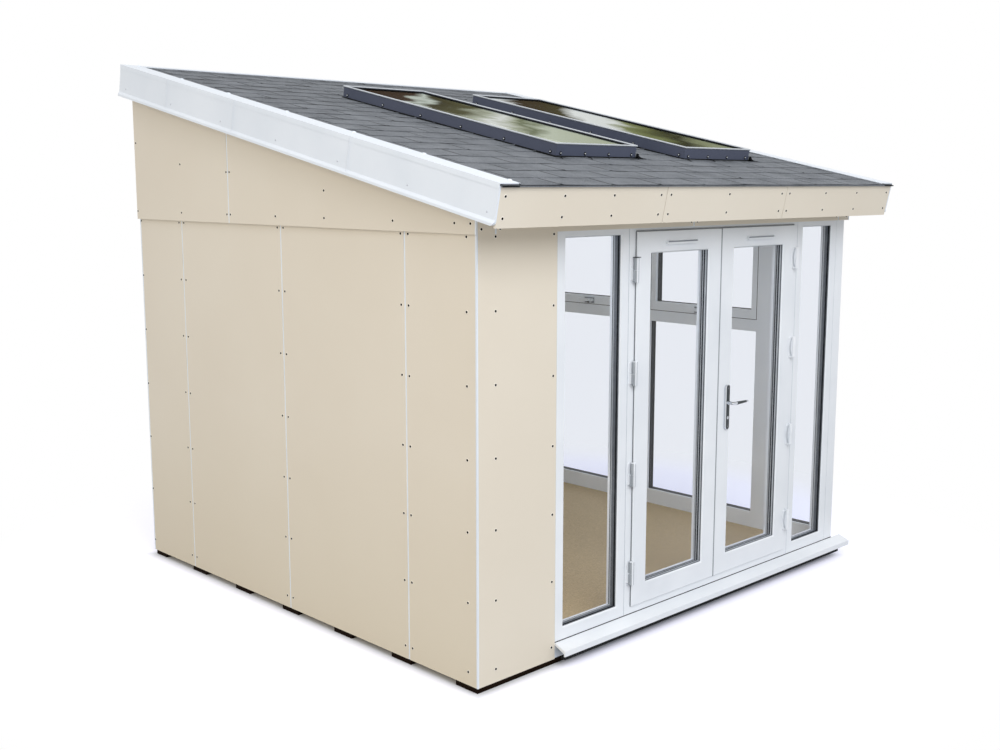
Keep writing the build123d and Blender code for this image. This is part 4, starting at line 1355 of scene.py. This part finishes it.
@dataclass
class Fixings:
    """Countersunk screws of the boards: bronzed heads, each in a small pale nylon washer."""

    rows: tuple[float, ...] = (97.0, 429.0, 763.0, 1098.0, 1435.0, 1767.0, 2097.0)
    joints: tuple[float, ...] = (-1010.0, 0.0, 1010.0)
    beside: float = 27.0  # joint to the screws on each side of it
    corner: float = 64.0  # corner to the first screws
    rear_corner: float = 12.0
    gable_rows: tuple[float, ...] = (2430.0, 2760.0)
    band_low: float = 2156.0
    band_out: float = 18.0
    fascia_depths: tuple[float, ...] = (-52.0, -146.0)
    barge_depth: float = -128.0
    barge_pitch: float = 526.0
    barge_joints: tuple[float, ...] = (1025.0, 2034.0, 2730.0)
    clips: tuple[float, ...] = (52.0, 614.0, 1139.0, 1707.0, 2266.0, 2763.0, 3259.0)
    cap_width: float = 110.0
    cap_length: float = 3285.0

    def build(self) -> None:
        """Puts the screws into every board."""
        make("board_screws", joined(self.boards()), HEADS, Body.ROOM, Slot.METAL)
        make("band_screws", joined(self.bands()), HEADS, Body.ROOM, Slot.METAL)
        make("fascia_screws", FASCIA.place(self.fascia()), HEADS, Body.ROOM, Slot.METAL)
        finishes = (WHITE_TRIM, PALE_JOINT, BLACK_SEAL_AND_SHADOW, FAINT_JOINT)
        make("barge_pins", joined(self.barges()), finishes, Body.ROOM, Slot.TRIM)

    def rowed(self, columns: Sequence[float]) -> Surface:
        """One screw at each row of each column of a board."""
        return HEAD.copies(crossings(columns, self.rows))

    def boards(self) -> list[Surface]:
        """The lower boards' screws: beside each joint, and near each corner, and two gable rows."""
        joints = [joint + side * self.beside for joint in self.joints for side in (-1, 1)]
        ends = [HALF_DEPTH - self.corner, -HALF_DEPTH + self.rear_corner]
        rear = [-HALF_WIDTH + self.corner, *joints, HALF_WIDTH - self.corner]
        return [
            LEFT.place(self.rowed([-joint for joint in joints] + ends)),
            BACK.place(self.rowed(rear)),
            FRONT.place(self.rowed([-1411.0, -1038.0])),
            RIGHT.place(self.rowed([HALF_DEPTH - 487.0, HALF_DEPTH - self.corner])),
            BACK.place(HEAD.copies(crossings(rear, self.gable_rows))),
        ]

    def bands(self) -> list[Surface]:
        """The upper bands' screws: along the lower edge, beside the joint and under the slope."""
        low = [1482.0, 1378.0, 950.0, 413.0, -15.0, -449.0, -483.0, -971.0, -1489.0]
        high = [(-969.0, 2430.0), (-479.0, 2384.0), (-447.0, 2384.0), (415.0, 2291.0), (-1480.0, 2560.0)]
        out = self.band_out
        places = [(a, self.band_low, out) for a in low] + [(a, b, out) for a, b in high]
        mirrored = [(-a, b, out) for a, b, out in places]
        header = [(a, 2132.0, out) for a in (-1513.0, -1400.0, -25.0, 25.0, 1400.0, 1513.0)]
        return [
            LEFT.place(HEAD.copies(places)),
            RIGHT.place(HEAD.copies(mirrored)),
            FRONT.place(HEAD.copies(header)),
        ]

    def fascia(self) -> Surface:
        """Pairs of screws along the fascia, one above the other."""
        columns = (-1582.0, -1221.0, -892.0, -554.0, -479.0, -5.0, 467.0, 541.0, 904.0, 1237.0, 1577.0)
        return HEAD.copies(crossings(columns, self.fascia_depths))

    def barges(self) -> list[Surface]:
        """Pins and joints of both bargeboards, the caps' clips, and black strips painted as the shadow beside
        and under each cap.
        """
        along = 54.0 + self.barge_pitch * np.arange(7)
        inner = ROOF_EDGE + 2 - self.cap_width
        parts = []
        for side, way in ((LEFT_VERGE, -1), (RIGHT_VERGE, 1)):
            pins = PIN.copies(crossings(way * along, (self.barge_depth,)))
            parts.append(side.place(pins).toned(1))
            places = [way * s for s in self.barge_joints]
            joints = [block((s - 1.2, -160.0, 8.0), (s + 1.2, -2.0, 8.5)) for s in places]
            parts.append(side.place(joined(joints)).toned(3))
            clips = [(way * (inner + 5.0), s, 3.0) for s in self.clips]
            parts.append(SLOPE.place(CLIP.copies(clips)))
            # painted shadow: a black strip along the cap's inner edge on the shingles
            near, far = sorted((way * (inner - 0.2), way * (inner - 6.0)))
            parts.append(SLOPE.place(block((near, -6.0, -1.5), (far, self.cap_length, 2.6))).toned(2))
            # painted shadow: a black strip under the cap's front end
            near, far = sorted((way * (inner + 5.0), way * (ROOF_EDGE - 2.0)))
            parts.append(SLOPE.place(block((near, -13.6, -11.4), (far, -12.1, -5.4))).toned(2))
        return parts


# ---------------------------------------------------------------- glazing
@dataclass
class Light:
    """One sealed unit: gaskets on both faces and the spacer bar between its sheets."""

    name: str
    side: Side
    outline: Outline
    body: Body
    setback: float = 22.0
    thickness: float = 28.0
    gasket: float = 2.4
    bands: tuple[tuple[int, float, float], ...] = ()  # finish of each band, and from where to where
    rubber: Finish = BLACK_SEAL_AND_SHADOW

    def build(self) -> None:
        """Makes the gaskets and, in the rebate, the spacer between its two seals and greys painted as the
        rebate's shade.
        """
        outer, inner = -self.setback, -self.setback - self.thickness
        g = self.gasket
        seals = joined(
            [
                framed(self.outline, [(-g, outer + 0.2), (1, outer + 0.2), (1, outer + 5), (-1, outer + 4)]),
                framed(self.outline, [(-g, inner - 0.2), (-1, inner - 4), (1, inner - 5), (1, inner - 0.2)]),
            ]
        )
        make(f"{self.name}_gasket", self.side.place(seals), (self.rubber,), self.body, Slot.METAL)
        rings = []
        for tone, near, far in self.bands:
            reach = (-1.6, 9.0) if near > 0 else (-1.2, 0.5)
            section = box_section(*reach, outer - far, outer - near)
            rings.append(framed(self.outline, section).toned(tone))
        finishes = (BUTYL_AND_SHADOW, MILL_ALUMINIUM, WEDGE_GREY_AND_REBATE_SHADE, SEAL_GREY_AND_REVEAL_SHADE)
        spacer = self.side.place(joined(rings))
        make(f"{self.name}_spacer", spacer, finishes, self.body, Slot.METAL)


def box_section(near: float, far: float, low: float, high: float) -> list[tuple[float, float]]:
    """A rectangular section, anticlockwise, from growth near to far and height low to high."""
    return [(near, low), (far, low), (far, high), (near, high)]


# Tones of the reveals, each from one depth to another: butyl, mill aluminium, wedge grey, seal grey.
# The wedge grey, and the sidelights' seal grey from 0.4 to 20, are painted shade of the white rebate.
DOOR_BANDS = ((3, -15.0, -7.0), (0, 0.4, 9.9), (1, 10.0, 14.6), (0, 14.7, 22.6), (2, 22.7, 27.6))
SIDELIGHT_BANDS = ((3, -15.0, -9.0), (0, -8.9, -5.1), (3, 0.4, 20.0), (2, 20.1, 27.6))
WINDOW_BANDS = ((0, -15.0, -5.1), (0, 0.4, 27.6))
FRAME_BARS = (60.0, 67.0, 60.0)  # sight widths of a frame's sides, foot and head
LEAF_BARS = (113.0, 110.0, 109.0)
SASH_BAR, SASH_FOOT = 41.0, 61.0
TRANSOM = (1380.0, 1457.0)  # lower and upper side of the wide windows' transoms


def within(outline: Outline, bars: tuple[float, float, float]) -> Outline:
    """The outline of the light inside bars at its sides, foot and head.

    Args:
        outline: The frame's outline.
        bars: Sight widths of its sides, its foot and its head.

    Returns:
        What is left inside the bars.
    """
    left, right, low, high = outline
    side, foot, head = bars
    return left + side, right - side, low + foot, high - head


def all_lights() -> list[Light]:
    """Every light of the building: frames' boxes, less their bars."""
    lights = []
    for name in ("left_sidelight", "right_sidelight"):
        inner = within(outline_of(f"{name}_frame", 0, 2), FRAME_BARS)
        lights.append(Light(name, FRONT, inner, Body.ROOM, bands=SIDELIGHT_BANDS))
    for name, body in (("left_door", Body.LEFT_LEAF), ("right_door", Body.RIGHT_LEAF)):
        inner = within(outline_of(name, 0, 2), LEAF_BARS)
        lights.append(Light(name, LEAVES, inner, body, bands=DOOR_BANDS, rubber=WEDGE_GREY_AND_REBATE_SHADE))
    inner = within(outline_of("front_window_frame", 1, 2), FRAME_BARS)
    lights.append(Light("front_window", RIGHT, inner, Body.ROOM, bands=WINDOW_BANDS))
    for name in ("middle", "rear"):
        left, right, low, high = within(outline_of(f"{name}_window_frame", 1, 2), FRAME_BARS)
        lower = (left, right, low, TRANSOM[0])
        sash = within((left, right, TRANSOM[1], high), (SASH_BAR, SASH_FOOT, SASH_BAR))
        lights.append(Light(f"{name}_lower", RIGHT, lower, Body.ROOM, bands=WINDOW_BANDS))
        lights.append(Light(f"{name}_opener", SASHES, sash, Body.ROOM, bands=WINDOW_BANDS))
    return lights


# ---------------------------------------------------------------- doors and frames
@dataclass
class FrameSeals:
    """Mastic where the frames stand on the cills and meet each other, rubber round the leaves, and painted
    shadow under the cill.
    """

    bead: float = 3.0
    joints_front: tuple[float, ...] = (-1014.0, -496.0, 1012.0, 1440.0)
    joints_right: tuple[float, ...] = (-1448.0, -998.0, -4.5, 989.0)
    cill: float = 114.0
    head: float = 2138.0
    flange: float = 5.0  # gap behind a leaf's overlapping edge

    def build(self) -> None:
        """Makes the mastic lines, the seals and the black strip painted as the shadow under the cill."""
        half = self.bead / 2
        low, high = self.cill, self.head
        front = [block((x - half, low, -2.6), (x + half, high - 4, -0.9)) for x in self.joints_front]
        side = [block((y - half, low, -2.6), (y + half, high - 4, -0.9)) for y in self.joints_right]
        parts = [FRONT.place(joined(front)), RIGHT.place(joined(side))]
        make("frame_mastic", joined(parts), (GREY_MASTIC,), Body.ROOM, Slot.UPVC)
        foot = [
            FRONT.place(block((-1013.0, low - 1, -3), (1524.0, low + 4.2, 0.8))),
            RIGHT.place(block((-1499.0, low - 1, -3), (988.0, low + 4.2, 0.8))),
        ]
        make("cill_seal", joined(foot), (BLACK_SEAL_AND_SHADOW,), Body.ROOM, Slot.METAL)
        for name, body in (("left_door", Body.LEFT_LEAF), ("right_door", Body.RIGHT_LEAF)):
            seal = framed(outline_of(name, 0, 2), box_section(-8.0, 1.6, 0.2, self.flange - 0.1))
            make(f"{name}_seal", FRONT.place(seal), (SEAL_GREY_AND_REVEAL_SHADE,), body, Slot.METAL)
        left, right, bottom, top = outline_of("left_door", 0, 2)
        strip = block((right - 9.6, bottom + 12, -58.0), (right + 6.0, top - 12, -12.0), 2.0)
        make("meeting_strip", LEAVES.place(strip), (WHITE_UPVC,), Body.LEFT_LEAF, Slot.UPVC)
        brush = block((right - 3.5, bottom, -8.0), (right + 4.4, top, 1.4), 0.6)
        make("meeting_brush", LEAVES.place(brush), (VENT_GREY_AND_SHADE,), Body.LEFT_LEAF, Slot.METAL)
        far = outline_of("right_door", 0, 2)[1]
        head = FRONT.place(block((left + 1, top + 1.8, 0.2), (far - 1, top + 6.6, 9.0), 1.5))
        make("head_seal", head, (VENT_GREY_AND_SHADE,), Body.ROOM, Slot.METAL)
        # painted shadow: a black strip under the front cill's nose, where the shade lies
        course = FRONT.place(block((-1012.0, 44.0, 40.0), (1500.0, 59.8, 68.5)))
        make("cill_painted_shadow", course, (BLACK_SEAL_AND_SHADOW,), Body.ROOM, Slot.METAL)
        section = box_section(-2.0, 1.6, -70.8, -69.0)
        windows = [outline_of(f"{name}_window_frame", 1, 2) for name in ("middle", "rear")]
        openings = [within(window, FRAME_BARS) for window in windows]
        sashes = [framed((left, right, TRANSOM[1] + 0.3, top), section) for left, right, _, top in openings]
        make("sash_seal", RIGHT.place(joined(sashes)), (BUTYL_AND_SHADOW,), Body.ROOM, Slot.METAL)


@dataclass
class Hinges:
    """Sleeves of the hinges with painted shade, a black strip painted as the shadow on the top one, and skins
    of painted shade beside them.
    """

    pins: tuple[tuple[float, int, Body], ...] = ((-463.0, -1, Body.LEFT_LEAF), (979.0, 1, Body.RIGHT_LEAF))
    levels: tuple[float, ...] = (343.0, 863.0, 1383.0, 1903.0)
    half: float = 62.0
    out: float = 20.0
    radius: float = 13.0
    shadow_reach: float = 19.0  # how far the painted top shadow reaches over the leaf
    shadow_depth: float = 14.0
    flap: float = 35.0  # pin to the far edge of the leaf's flap
    flap_out: float = 26.0
    flap_thickness: float = 6.0
    block_reach: float = 22.0  # pin to the outer edge of the frame's block
    block_foot: float = 49.0
    shaded: float = 4.0  # how far the skin of painted shade goes back along the block's end
    skin: float = 0.4

    def build(self) -> None:
        """Makes the lower sleeves on the frame, and the upper ones, the painted top shadow and the painted
        shade edges on the leaves.
        """
        finishes = (WHITE_ENAMEL, HINGE_PAINTED_SHADE, HINGE_PAINTED_EDGE_SHADE, BUTYL_AND_SHADOW)
        lower = []
        for x, side, body in self.pins:
            places = [(x, -HALF_DEPTH - self.out, z) for z in self.levels]
            lower.append(self.sleeve(side, -self.half, -0.5).copies(places))
            upper = [self.sleeve(side, 0.5, self.half).copies(places)]
            if side > 0:
                upper.append(self.edge().copies(places))
            else:
                lower.append(self.cheek().copies(places))
                upper.append(self.painted_top_shadow().copies(places[-1:]))
            make(f"{body.value}_hinge_sleeves", joined(upper), finishes, body, Slot.HARDWARE)
        make("frame_hinge_sleeves", joined(lower), finishes[:3], Body.ROOM, Slot.HARDWARE)

    def sleeve(self, side: int, low: float, high: float) -> Surface:
        """One sleeve: a thin skin round a barrel, with painted shade on the frame's side and a lighter
        painted shade on the leaf's.

        Args:
            side: -1 where the frame lies to the left of the pin, 1 where it lies to the right.
            low: Its lower end, from the hinge's middle.
            high: Its upper end.

        Returns:
            The sleeve. On the left it takes tone 1, painted shade, up to 45 degrees in front of the frame's
            side, and tone 2, a lighter painted shade, beyond 79 degrees.
        """
        r = self.radius + 0.5
        ease = [(r * 0.8, low), (r, low + 2.0)] if low < 0 else [(r, low)]
        crown = [(r, high - 3.0), (r * 0.94, high - 1.0), (r * 0.78, high + 0.2)] if high > 0 else [(r, high)]
        tube = turned([*ease, *crown], 36)
        middle = tube.points[tube.faces].mean(1)
        turn = np.degrees(np.arctan2(-middle[:, 1], side * middle[:, 0]))
        upright = np.hypot(middle[:, 0], middle[:, 1]) > 0.9 * self.radius
        # tones 1 and 2 are painted shade on the barrel's two flanks
        tones = np.select([~upright | (side > 0), turn < 45, turn < 79], [0, 1, 0], 2)
        return Surface(tube.points, tube.faces, tones)

    def cheek(self) -> Surface:
        """The skin of painted shade round the outer edge of the left frame's block, beside the lower sleeve.
        """
        near, far, skin = -self.radius + 1.0, -self.block_reach, self.skin
        outer = [(far - skin, self.shaded), (far - skin, -skin), (near, -skin)]
        section = np.array([*outer, (near, 0.0), (far, 0.0), (far, self.shaded)])
        path = np.array([[0.0, 0.0, -self.block_foot], [0.0, 0.0, -0.5]])
        return carried(section, path, X, Y).toned(1)

    def painted_top_shadow(self) -> Surface:
        """A black strip painted as the shadow on the left side's uppermost sleeve, which reaches over the
        leaf.
        """
        low = (-self.radius, -self.radius, self.half + 0.3)
        return block(low, (self.shadow_reach, self.shadow_depth, self.half + 3.2)).toned(3)

    def edge(self) -> Surface:
        """A strip of painted shade on the edge of a right leaf's flap, which bows towards the middle of the
        leaf.
        """
        count, bow = 12, 13.0
        z = np.linspace(-50.0, 56.0, count)
        x = -(self.flap + 1.0 - bow * ((z - 3.0) / 53.0) ** 2)
        path = np.column_stack([x, np.full(count, self.out - self.flap_out + 0.2), z])
        section = np.array([(-1.6, 0.0), (1.6, 0.0), (1.6, self.flap_thickness), (-1.6, self.flap_thickness)])
        return carried(section, path, X, Y).toned(2)


@dataclass
class DoorFurniture:
    """Details of the handles and the vents: lock cylinders, plate screws and the vents' dark slots."""

    handle: float = 334.0
    inner_face: float = -1442.0  # the leaves' inner face
    plate_face: float = 13.0
    plate_middle: float = 1109.0
    cylinder: float = 1051.0
    screw_reach: float = 106.0
    vents: tuple[tuple[float, Body], ...] = ((-96.25, Body.LEFT_LEAF), (612.25, Body.RIGHT_LEAF))
    vent_half: float = 123.8
    vent_levels: tuple[float, float] = (2030.6, 2041.4)
    reflection_half: float = 14.0
    reflection_shift: float = 2.4
    lever_height: float = 1135.0
    grip_lines: tuple[float, float] = (-1568.3, -1385.7)
    window_roots: tuple[float, float] = (-531.2, 462.3)

    def build(self) -> None:
        """Makes the cylinders, the screws and the slots."""
        inside = Side((0.0, self.inner_face, 0.0), (-1.0, 0.0, 0.0), Z)
        parts = []
        for side, x in ((LEAVES, self.handle), (inside, -self.handle)):
            face = self.plate_face + 3.0
            plug = turned([(6.2, face - 0.5), (6.2, face + 0.6), (5.4, face + 1.2)], 20)
            key = block((-0.9, -4.0, face + 1.0), (0.9, 4.0, face + 1.4)).toned(1)
            lock = joined([plug, key]).copies([(x, self.cylinder, 0.0)])
            plate, middle, reach = self.plate_face, self.plate_middle, self.screw_reach
            screw = turned([(4.0, plate - 0.4), (3.6, plate + 0.8), (1.2, plate + 1.2)])
            screws = screw.copies(crossings((x,), (middle - reach, middle + reach)))
            parts += [side.place(lock), side.place(screws)]
        make("lock_details", joined(parts), (CHROME, BLACK_SEAL_AND_SHADOW), Body.RIGHT_LEAF, Slot.CHROME)
        for middle, body in self.vents:
            low = (middle - self.vent_half, self.vent_levels[0], 6.2)
            slot = LEAVES.place(block(low, (middle + self.vent_half, self.vent_levels[1], 8.6)))
            make(f"{body.value}_vent_slot", slot, (VENT_GREY_AND_SHADE,), body, Slot.METAL)
        face = LEAVES.place(self.plate_reflection())
        make("plate_reflection", face, (CHROME_PAINTED_DARK,), Body.RIGHT_LEAF, Slot.CHROME)
        make("lever_grip_reflections", self.grip_reflections(), (CHROME_PAINTED_DARK,), Body.LEVER, Slot.CHROME)
        plates_and_shade = RIGHT.place(joined([self.handle_plate_and_shade(y) for y in self.window_roots]))
        make("window_handle_plates_and_shade", plates_and_shade, (VENT_GREY_AND_SHADE, BLACK_SEAL_AND_SHADOW, CHROME), Body.ROOM, Slot.METAL)

    def handle_plate_and_shade(self, root: float) -> Surface:
        """A window handle's base plate, grey as painted shade under the handle, with its lock button and its
        screw cap, inside the sash.

        Args:
            root: Where the handle's root lies along the side.

        Returns:
            The plate, the button and the cap, in tones 0, 1 and 2.
        """
        plate = block((root - 4, 1464.0, -73.0), (root + 88, 1505.0, -70.1))
        button = block((root + 46, 1464.5, -77.0), (root + 66, 1479.0, -73.1)).toned(1)
        cap = block((root + 18, 1464.5, -76.0), (root + 36, 1478.0, -73.1)).toned(2)
        return joined([plate, button, cap])

    def plate_reflection(self) -> Surface:
        """A strip on the outer plate, painted dark as the chrome's reflection: round ends, thin and eased."""
        turn = np.linspace(0, math.pi, 9)
        end = np.stack([np.cos(turn), np.sin(turn)], -1)
        rows = []
        for height, growth in ((-0.4, 0.0), (0.7, 0.0), (1.1, -0.6)):
            radius = self.reflection_half + growth
            straight = self.screw_reach + 4.0
            plan = np.concatenate([end * radius + (0, straight), -end * radius - (0, straight)])
            middle = (self.handle + self.reflection_shift, self.plate_middle)
            rows.append(np.column_stack([plan + middle, np.full(len(plan), self.plate_face + height)]))
        return capped(np.array(rows))

    def grip_reflections(self) -> Surface:
        """Sleeves on both grips, painted dark as the chrome's reflection: tapered from the bend to the tip,
        with a ring at the root.
        """
        ring = [(9.2, 0.0), (9.6, 3.0), (9.3, 6.0), (8.7, 8.0)]
        grip = turned([*ring, (8.2, 22.0), (6.4, 84.0), (5.0, 91.0), (2.5, 94.0)], 16)
        points = grip.points[:, [2, 1, 0]] * (1, 1, -1)
        sleeve = Surface(points, grip.faces, grip.tones)
        return sleeve.copies([(self.handle + 24.0, y, self.lever_height) for y in self.grip_lines])


HEAD = joined(
    [
        turned([(8.5, -0.4), (8.5, 0.5), (7.4, 0.8)], 12).toned(1),
        turned([(6.0, 0.2), (6.0, 1.4), (4.2, 2.3)], 10),
    ]
)
CLIP = turned([(12.0, -1.0), (11.0, 4.0), (7.0, 6.6), (2.0, 7.4)], 12)
PIN = turned([(5.0, -0.4), (5.0, 1.2), (3.6, 2.4), (1.4, 2.9)], 12)


def dress_frame() -> None:
    """Gives every fixed node the finish of its slot, with the few that differ named one by one."""
    special = {"skylight_glass": ROOF_GLASS}
    slots = {part["node"]: part["material_slot"] for part in frame["record"]["subparts"]}
    for name, node in frame["nodes"].items():
        finish = special.get(name) or SLOT_FINISH[Slot(slots[name])]
        node.data.materials.clear()
        node.data.materials.append(finish.material())
        log.info("finish of %s: %s", name, finish.name)


# ---------------------------------------------------------------- stage, light and camera
@dataclass
class Studio:
    """The white sheet, the soft lamps and the camera."""

    sheet_reach: float = 30.0
    camera_place: tuple[float, float, float] = (-5.1007, -5.3574, 2.3364)
    camera_heading: float = 44.65  # degrees from +Y towards +X
    camera_tilt: float = -8.79  # degrees above the horizon
    camera_roll: float = 0.094
    lens: float = 43.5
    sensor: float = 36.0
    shift: tuple[float, float] = (-0.0148, -0.0067)
    sky_strength: float = 0.74

    def build(self) -> None:
        """Makes the sheet, the sky, the lamps and the camera."""
        self.lay_sheet()
        self.light()
        self.place_camera()

    def lay_sheet(self) -> None:
        """Lays the white sheet on the ground."""
        reach = self.sheet_reach
        corners = [(-reach, -reach, 0), (reach, -reach, 0), (reach, reach, 0), (-reach, reach, 0)]
        mesh = bpy.data.meshes.new("studio_sheet")
        mesh.from_pydata(corners, [], [(0, 1, 2, 3)])
        mesh.materials.append(StageFloor("studio_sheet_white", "#e8eaec", 0.9).material())
        sheet = bpy.data.objects.new("studio_sheet", mesh)
        bpy.context.scene.collection.objects.link(sheet)

    def light(self) -> None:
        """Sets an even sky, white where it is seen, two large soft lamps and two small ones in the room."""
        world = bpy.data.worlds.new("studio_sky")
        bpy.context.scene.world = world
        world.use_nodes = True
        tree = world.node_tree
        tree.nodes.clear()
        rays = add(tree, "ShaderNodeLightPath").outputs
        seen = rays["Is Camera Ray"]
        for kind in ("Is Glossy Ray", "Is Transmission Ray"):
            seen = add(tree, MATH, {0: seen, 1: rays[kind]}, operation="MAXIMUM").outputs[0]
        even = {"Color": linear("#fbfbfd"), "Strength": self.sky_strength}
        sky = add(tree, "ShaderNodeBackground", even).outputs[0]
        white = add(tree, "ShaderNodeBackground", {"Color": linear("#ffffff"), "Strength": 1.0}).outputs[0]
        mix = add(tree, "ShaderNodeMixShader", {0: seen, 1: sky, 2: white}).outputs["Shader"]
        add(tree, "ShaderNodeOutputWorld", {"Surface": mix})
        key = self.lamp("key", (-3.5, -9.0, 7.4), (0.0, 0.0, 1.3), 6.5, 545.0, "#fafbff")
        self.lamp("fill", (-9.0, -2.0, 4.0), (0.0, 0.0, 1.3), 5.0, 150.0, "#fff1da")
        room = self.lamp("room", (-1.2, -0.6, 1.95), (1.45, -0.3, 1.75), 0.7, 11.5, "#eef4ff")
        corner = self.lamp("corner", (-0.85, -1.15, 1.0), (-0.85, -1.15, 0.0), 0.4, 1.6, "#fff4e4")
        key.visible_glossy = False
        for lamp in (room, corner):
            lamp.visible_camera = lamp.visible_glossy = False

    def lamp(
        self, name: str, place: tuple, target: tuple, size: float, power: float, colour: str
    ) -> bpy.types.Object:
        """Hangs one square area lamp.

        Args:
            name: The lamp's name.
            place: Where it hangs.
            target: The point that it faces.
            size: The side of its square.
            power: Its power in watts.
            colour: Its sRGB hex colour.

        Returns:
            The lamp.
        """
        data = bpy.data.lights.new(name, "AREA")
        data.shape = "SQUARE"
        data.size = size
        data.energy = power
        data.color = linear(colour)[:3]
        lamp = bpy.data.objects.new(name, data)
        lamp.location = place
        aim = Vector(target) - Vector(place)
        lamp.rotation_euler = aim.to_track_quat("-Z", "Y").to_euler()
        bpy.context.scene.collection.objects.link(lamp)
        return lamp

    def place_camera(self) -> None:
        """Stands the camera off the pod's front left corner, at head height on a step."""
        data = bpy.data.cameras.new("camera")
        data.lens = self.lens
        data.sensor_width = self.sensor
        data.shift_x, data.shift_y = self.shift
        data.clip_end = 200.0
        camera = bpy.data.objects.new("camera", data)
        turn = Euler((math.radians(90 + self.camera_tilt), 0, math.radians(-self.camera_heading)))
        roll = Matrix.Rotation(math.radians(self.camera_roll), 3, "Z")
        camera.matrix_world = (turn.to_matrix() @ roll).to_4x4()
        camera.location = self.camera_place
        bpy.context.scene.collection.objects.link(camera)
        bpy.context.scene.camera = camera
        bpy.context.scene.view_settings.view_transform = "Standard"


def main() -> None:
    """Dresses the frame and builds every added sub-assembly."""
    logging.basicConfig(level=logging.INFO, format="%(message)s")
    dress_frame()
    ShingleRoof().build()
    for assembly in (*SKYLIGHTS, Fixings(), *all_lights(), FrameSeals(), Hinges(), DoorFurniture()):
        assembly.build()
    Studio().build()


if __name__ == "__main__":
    main()
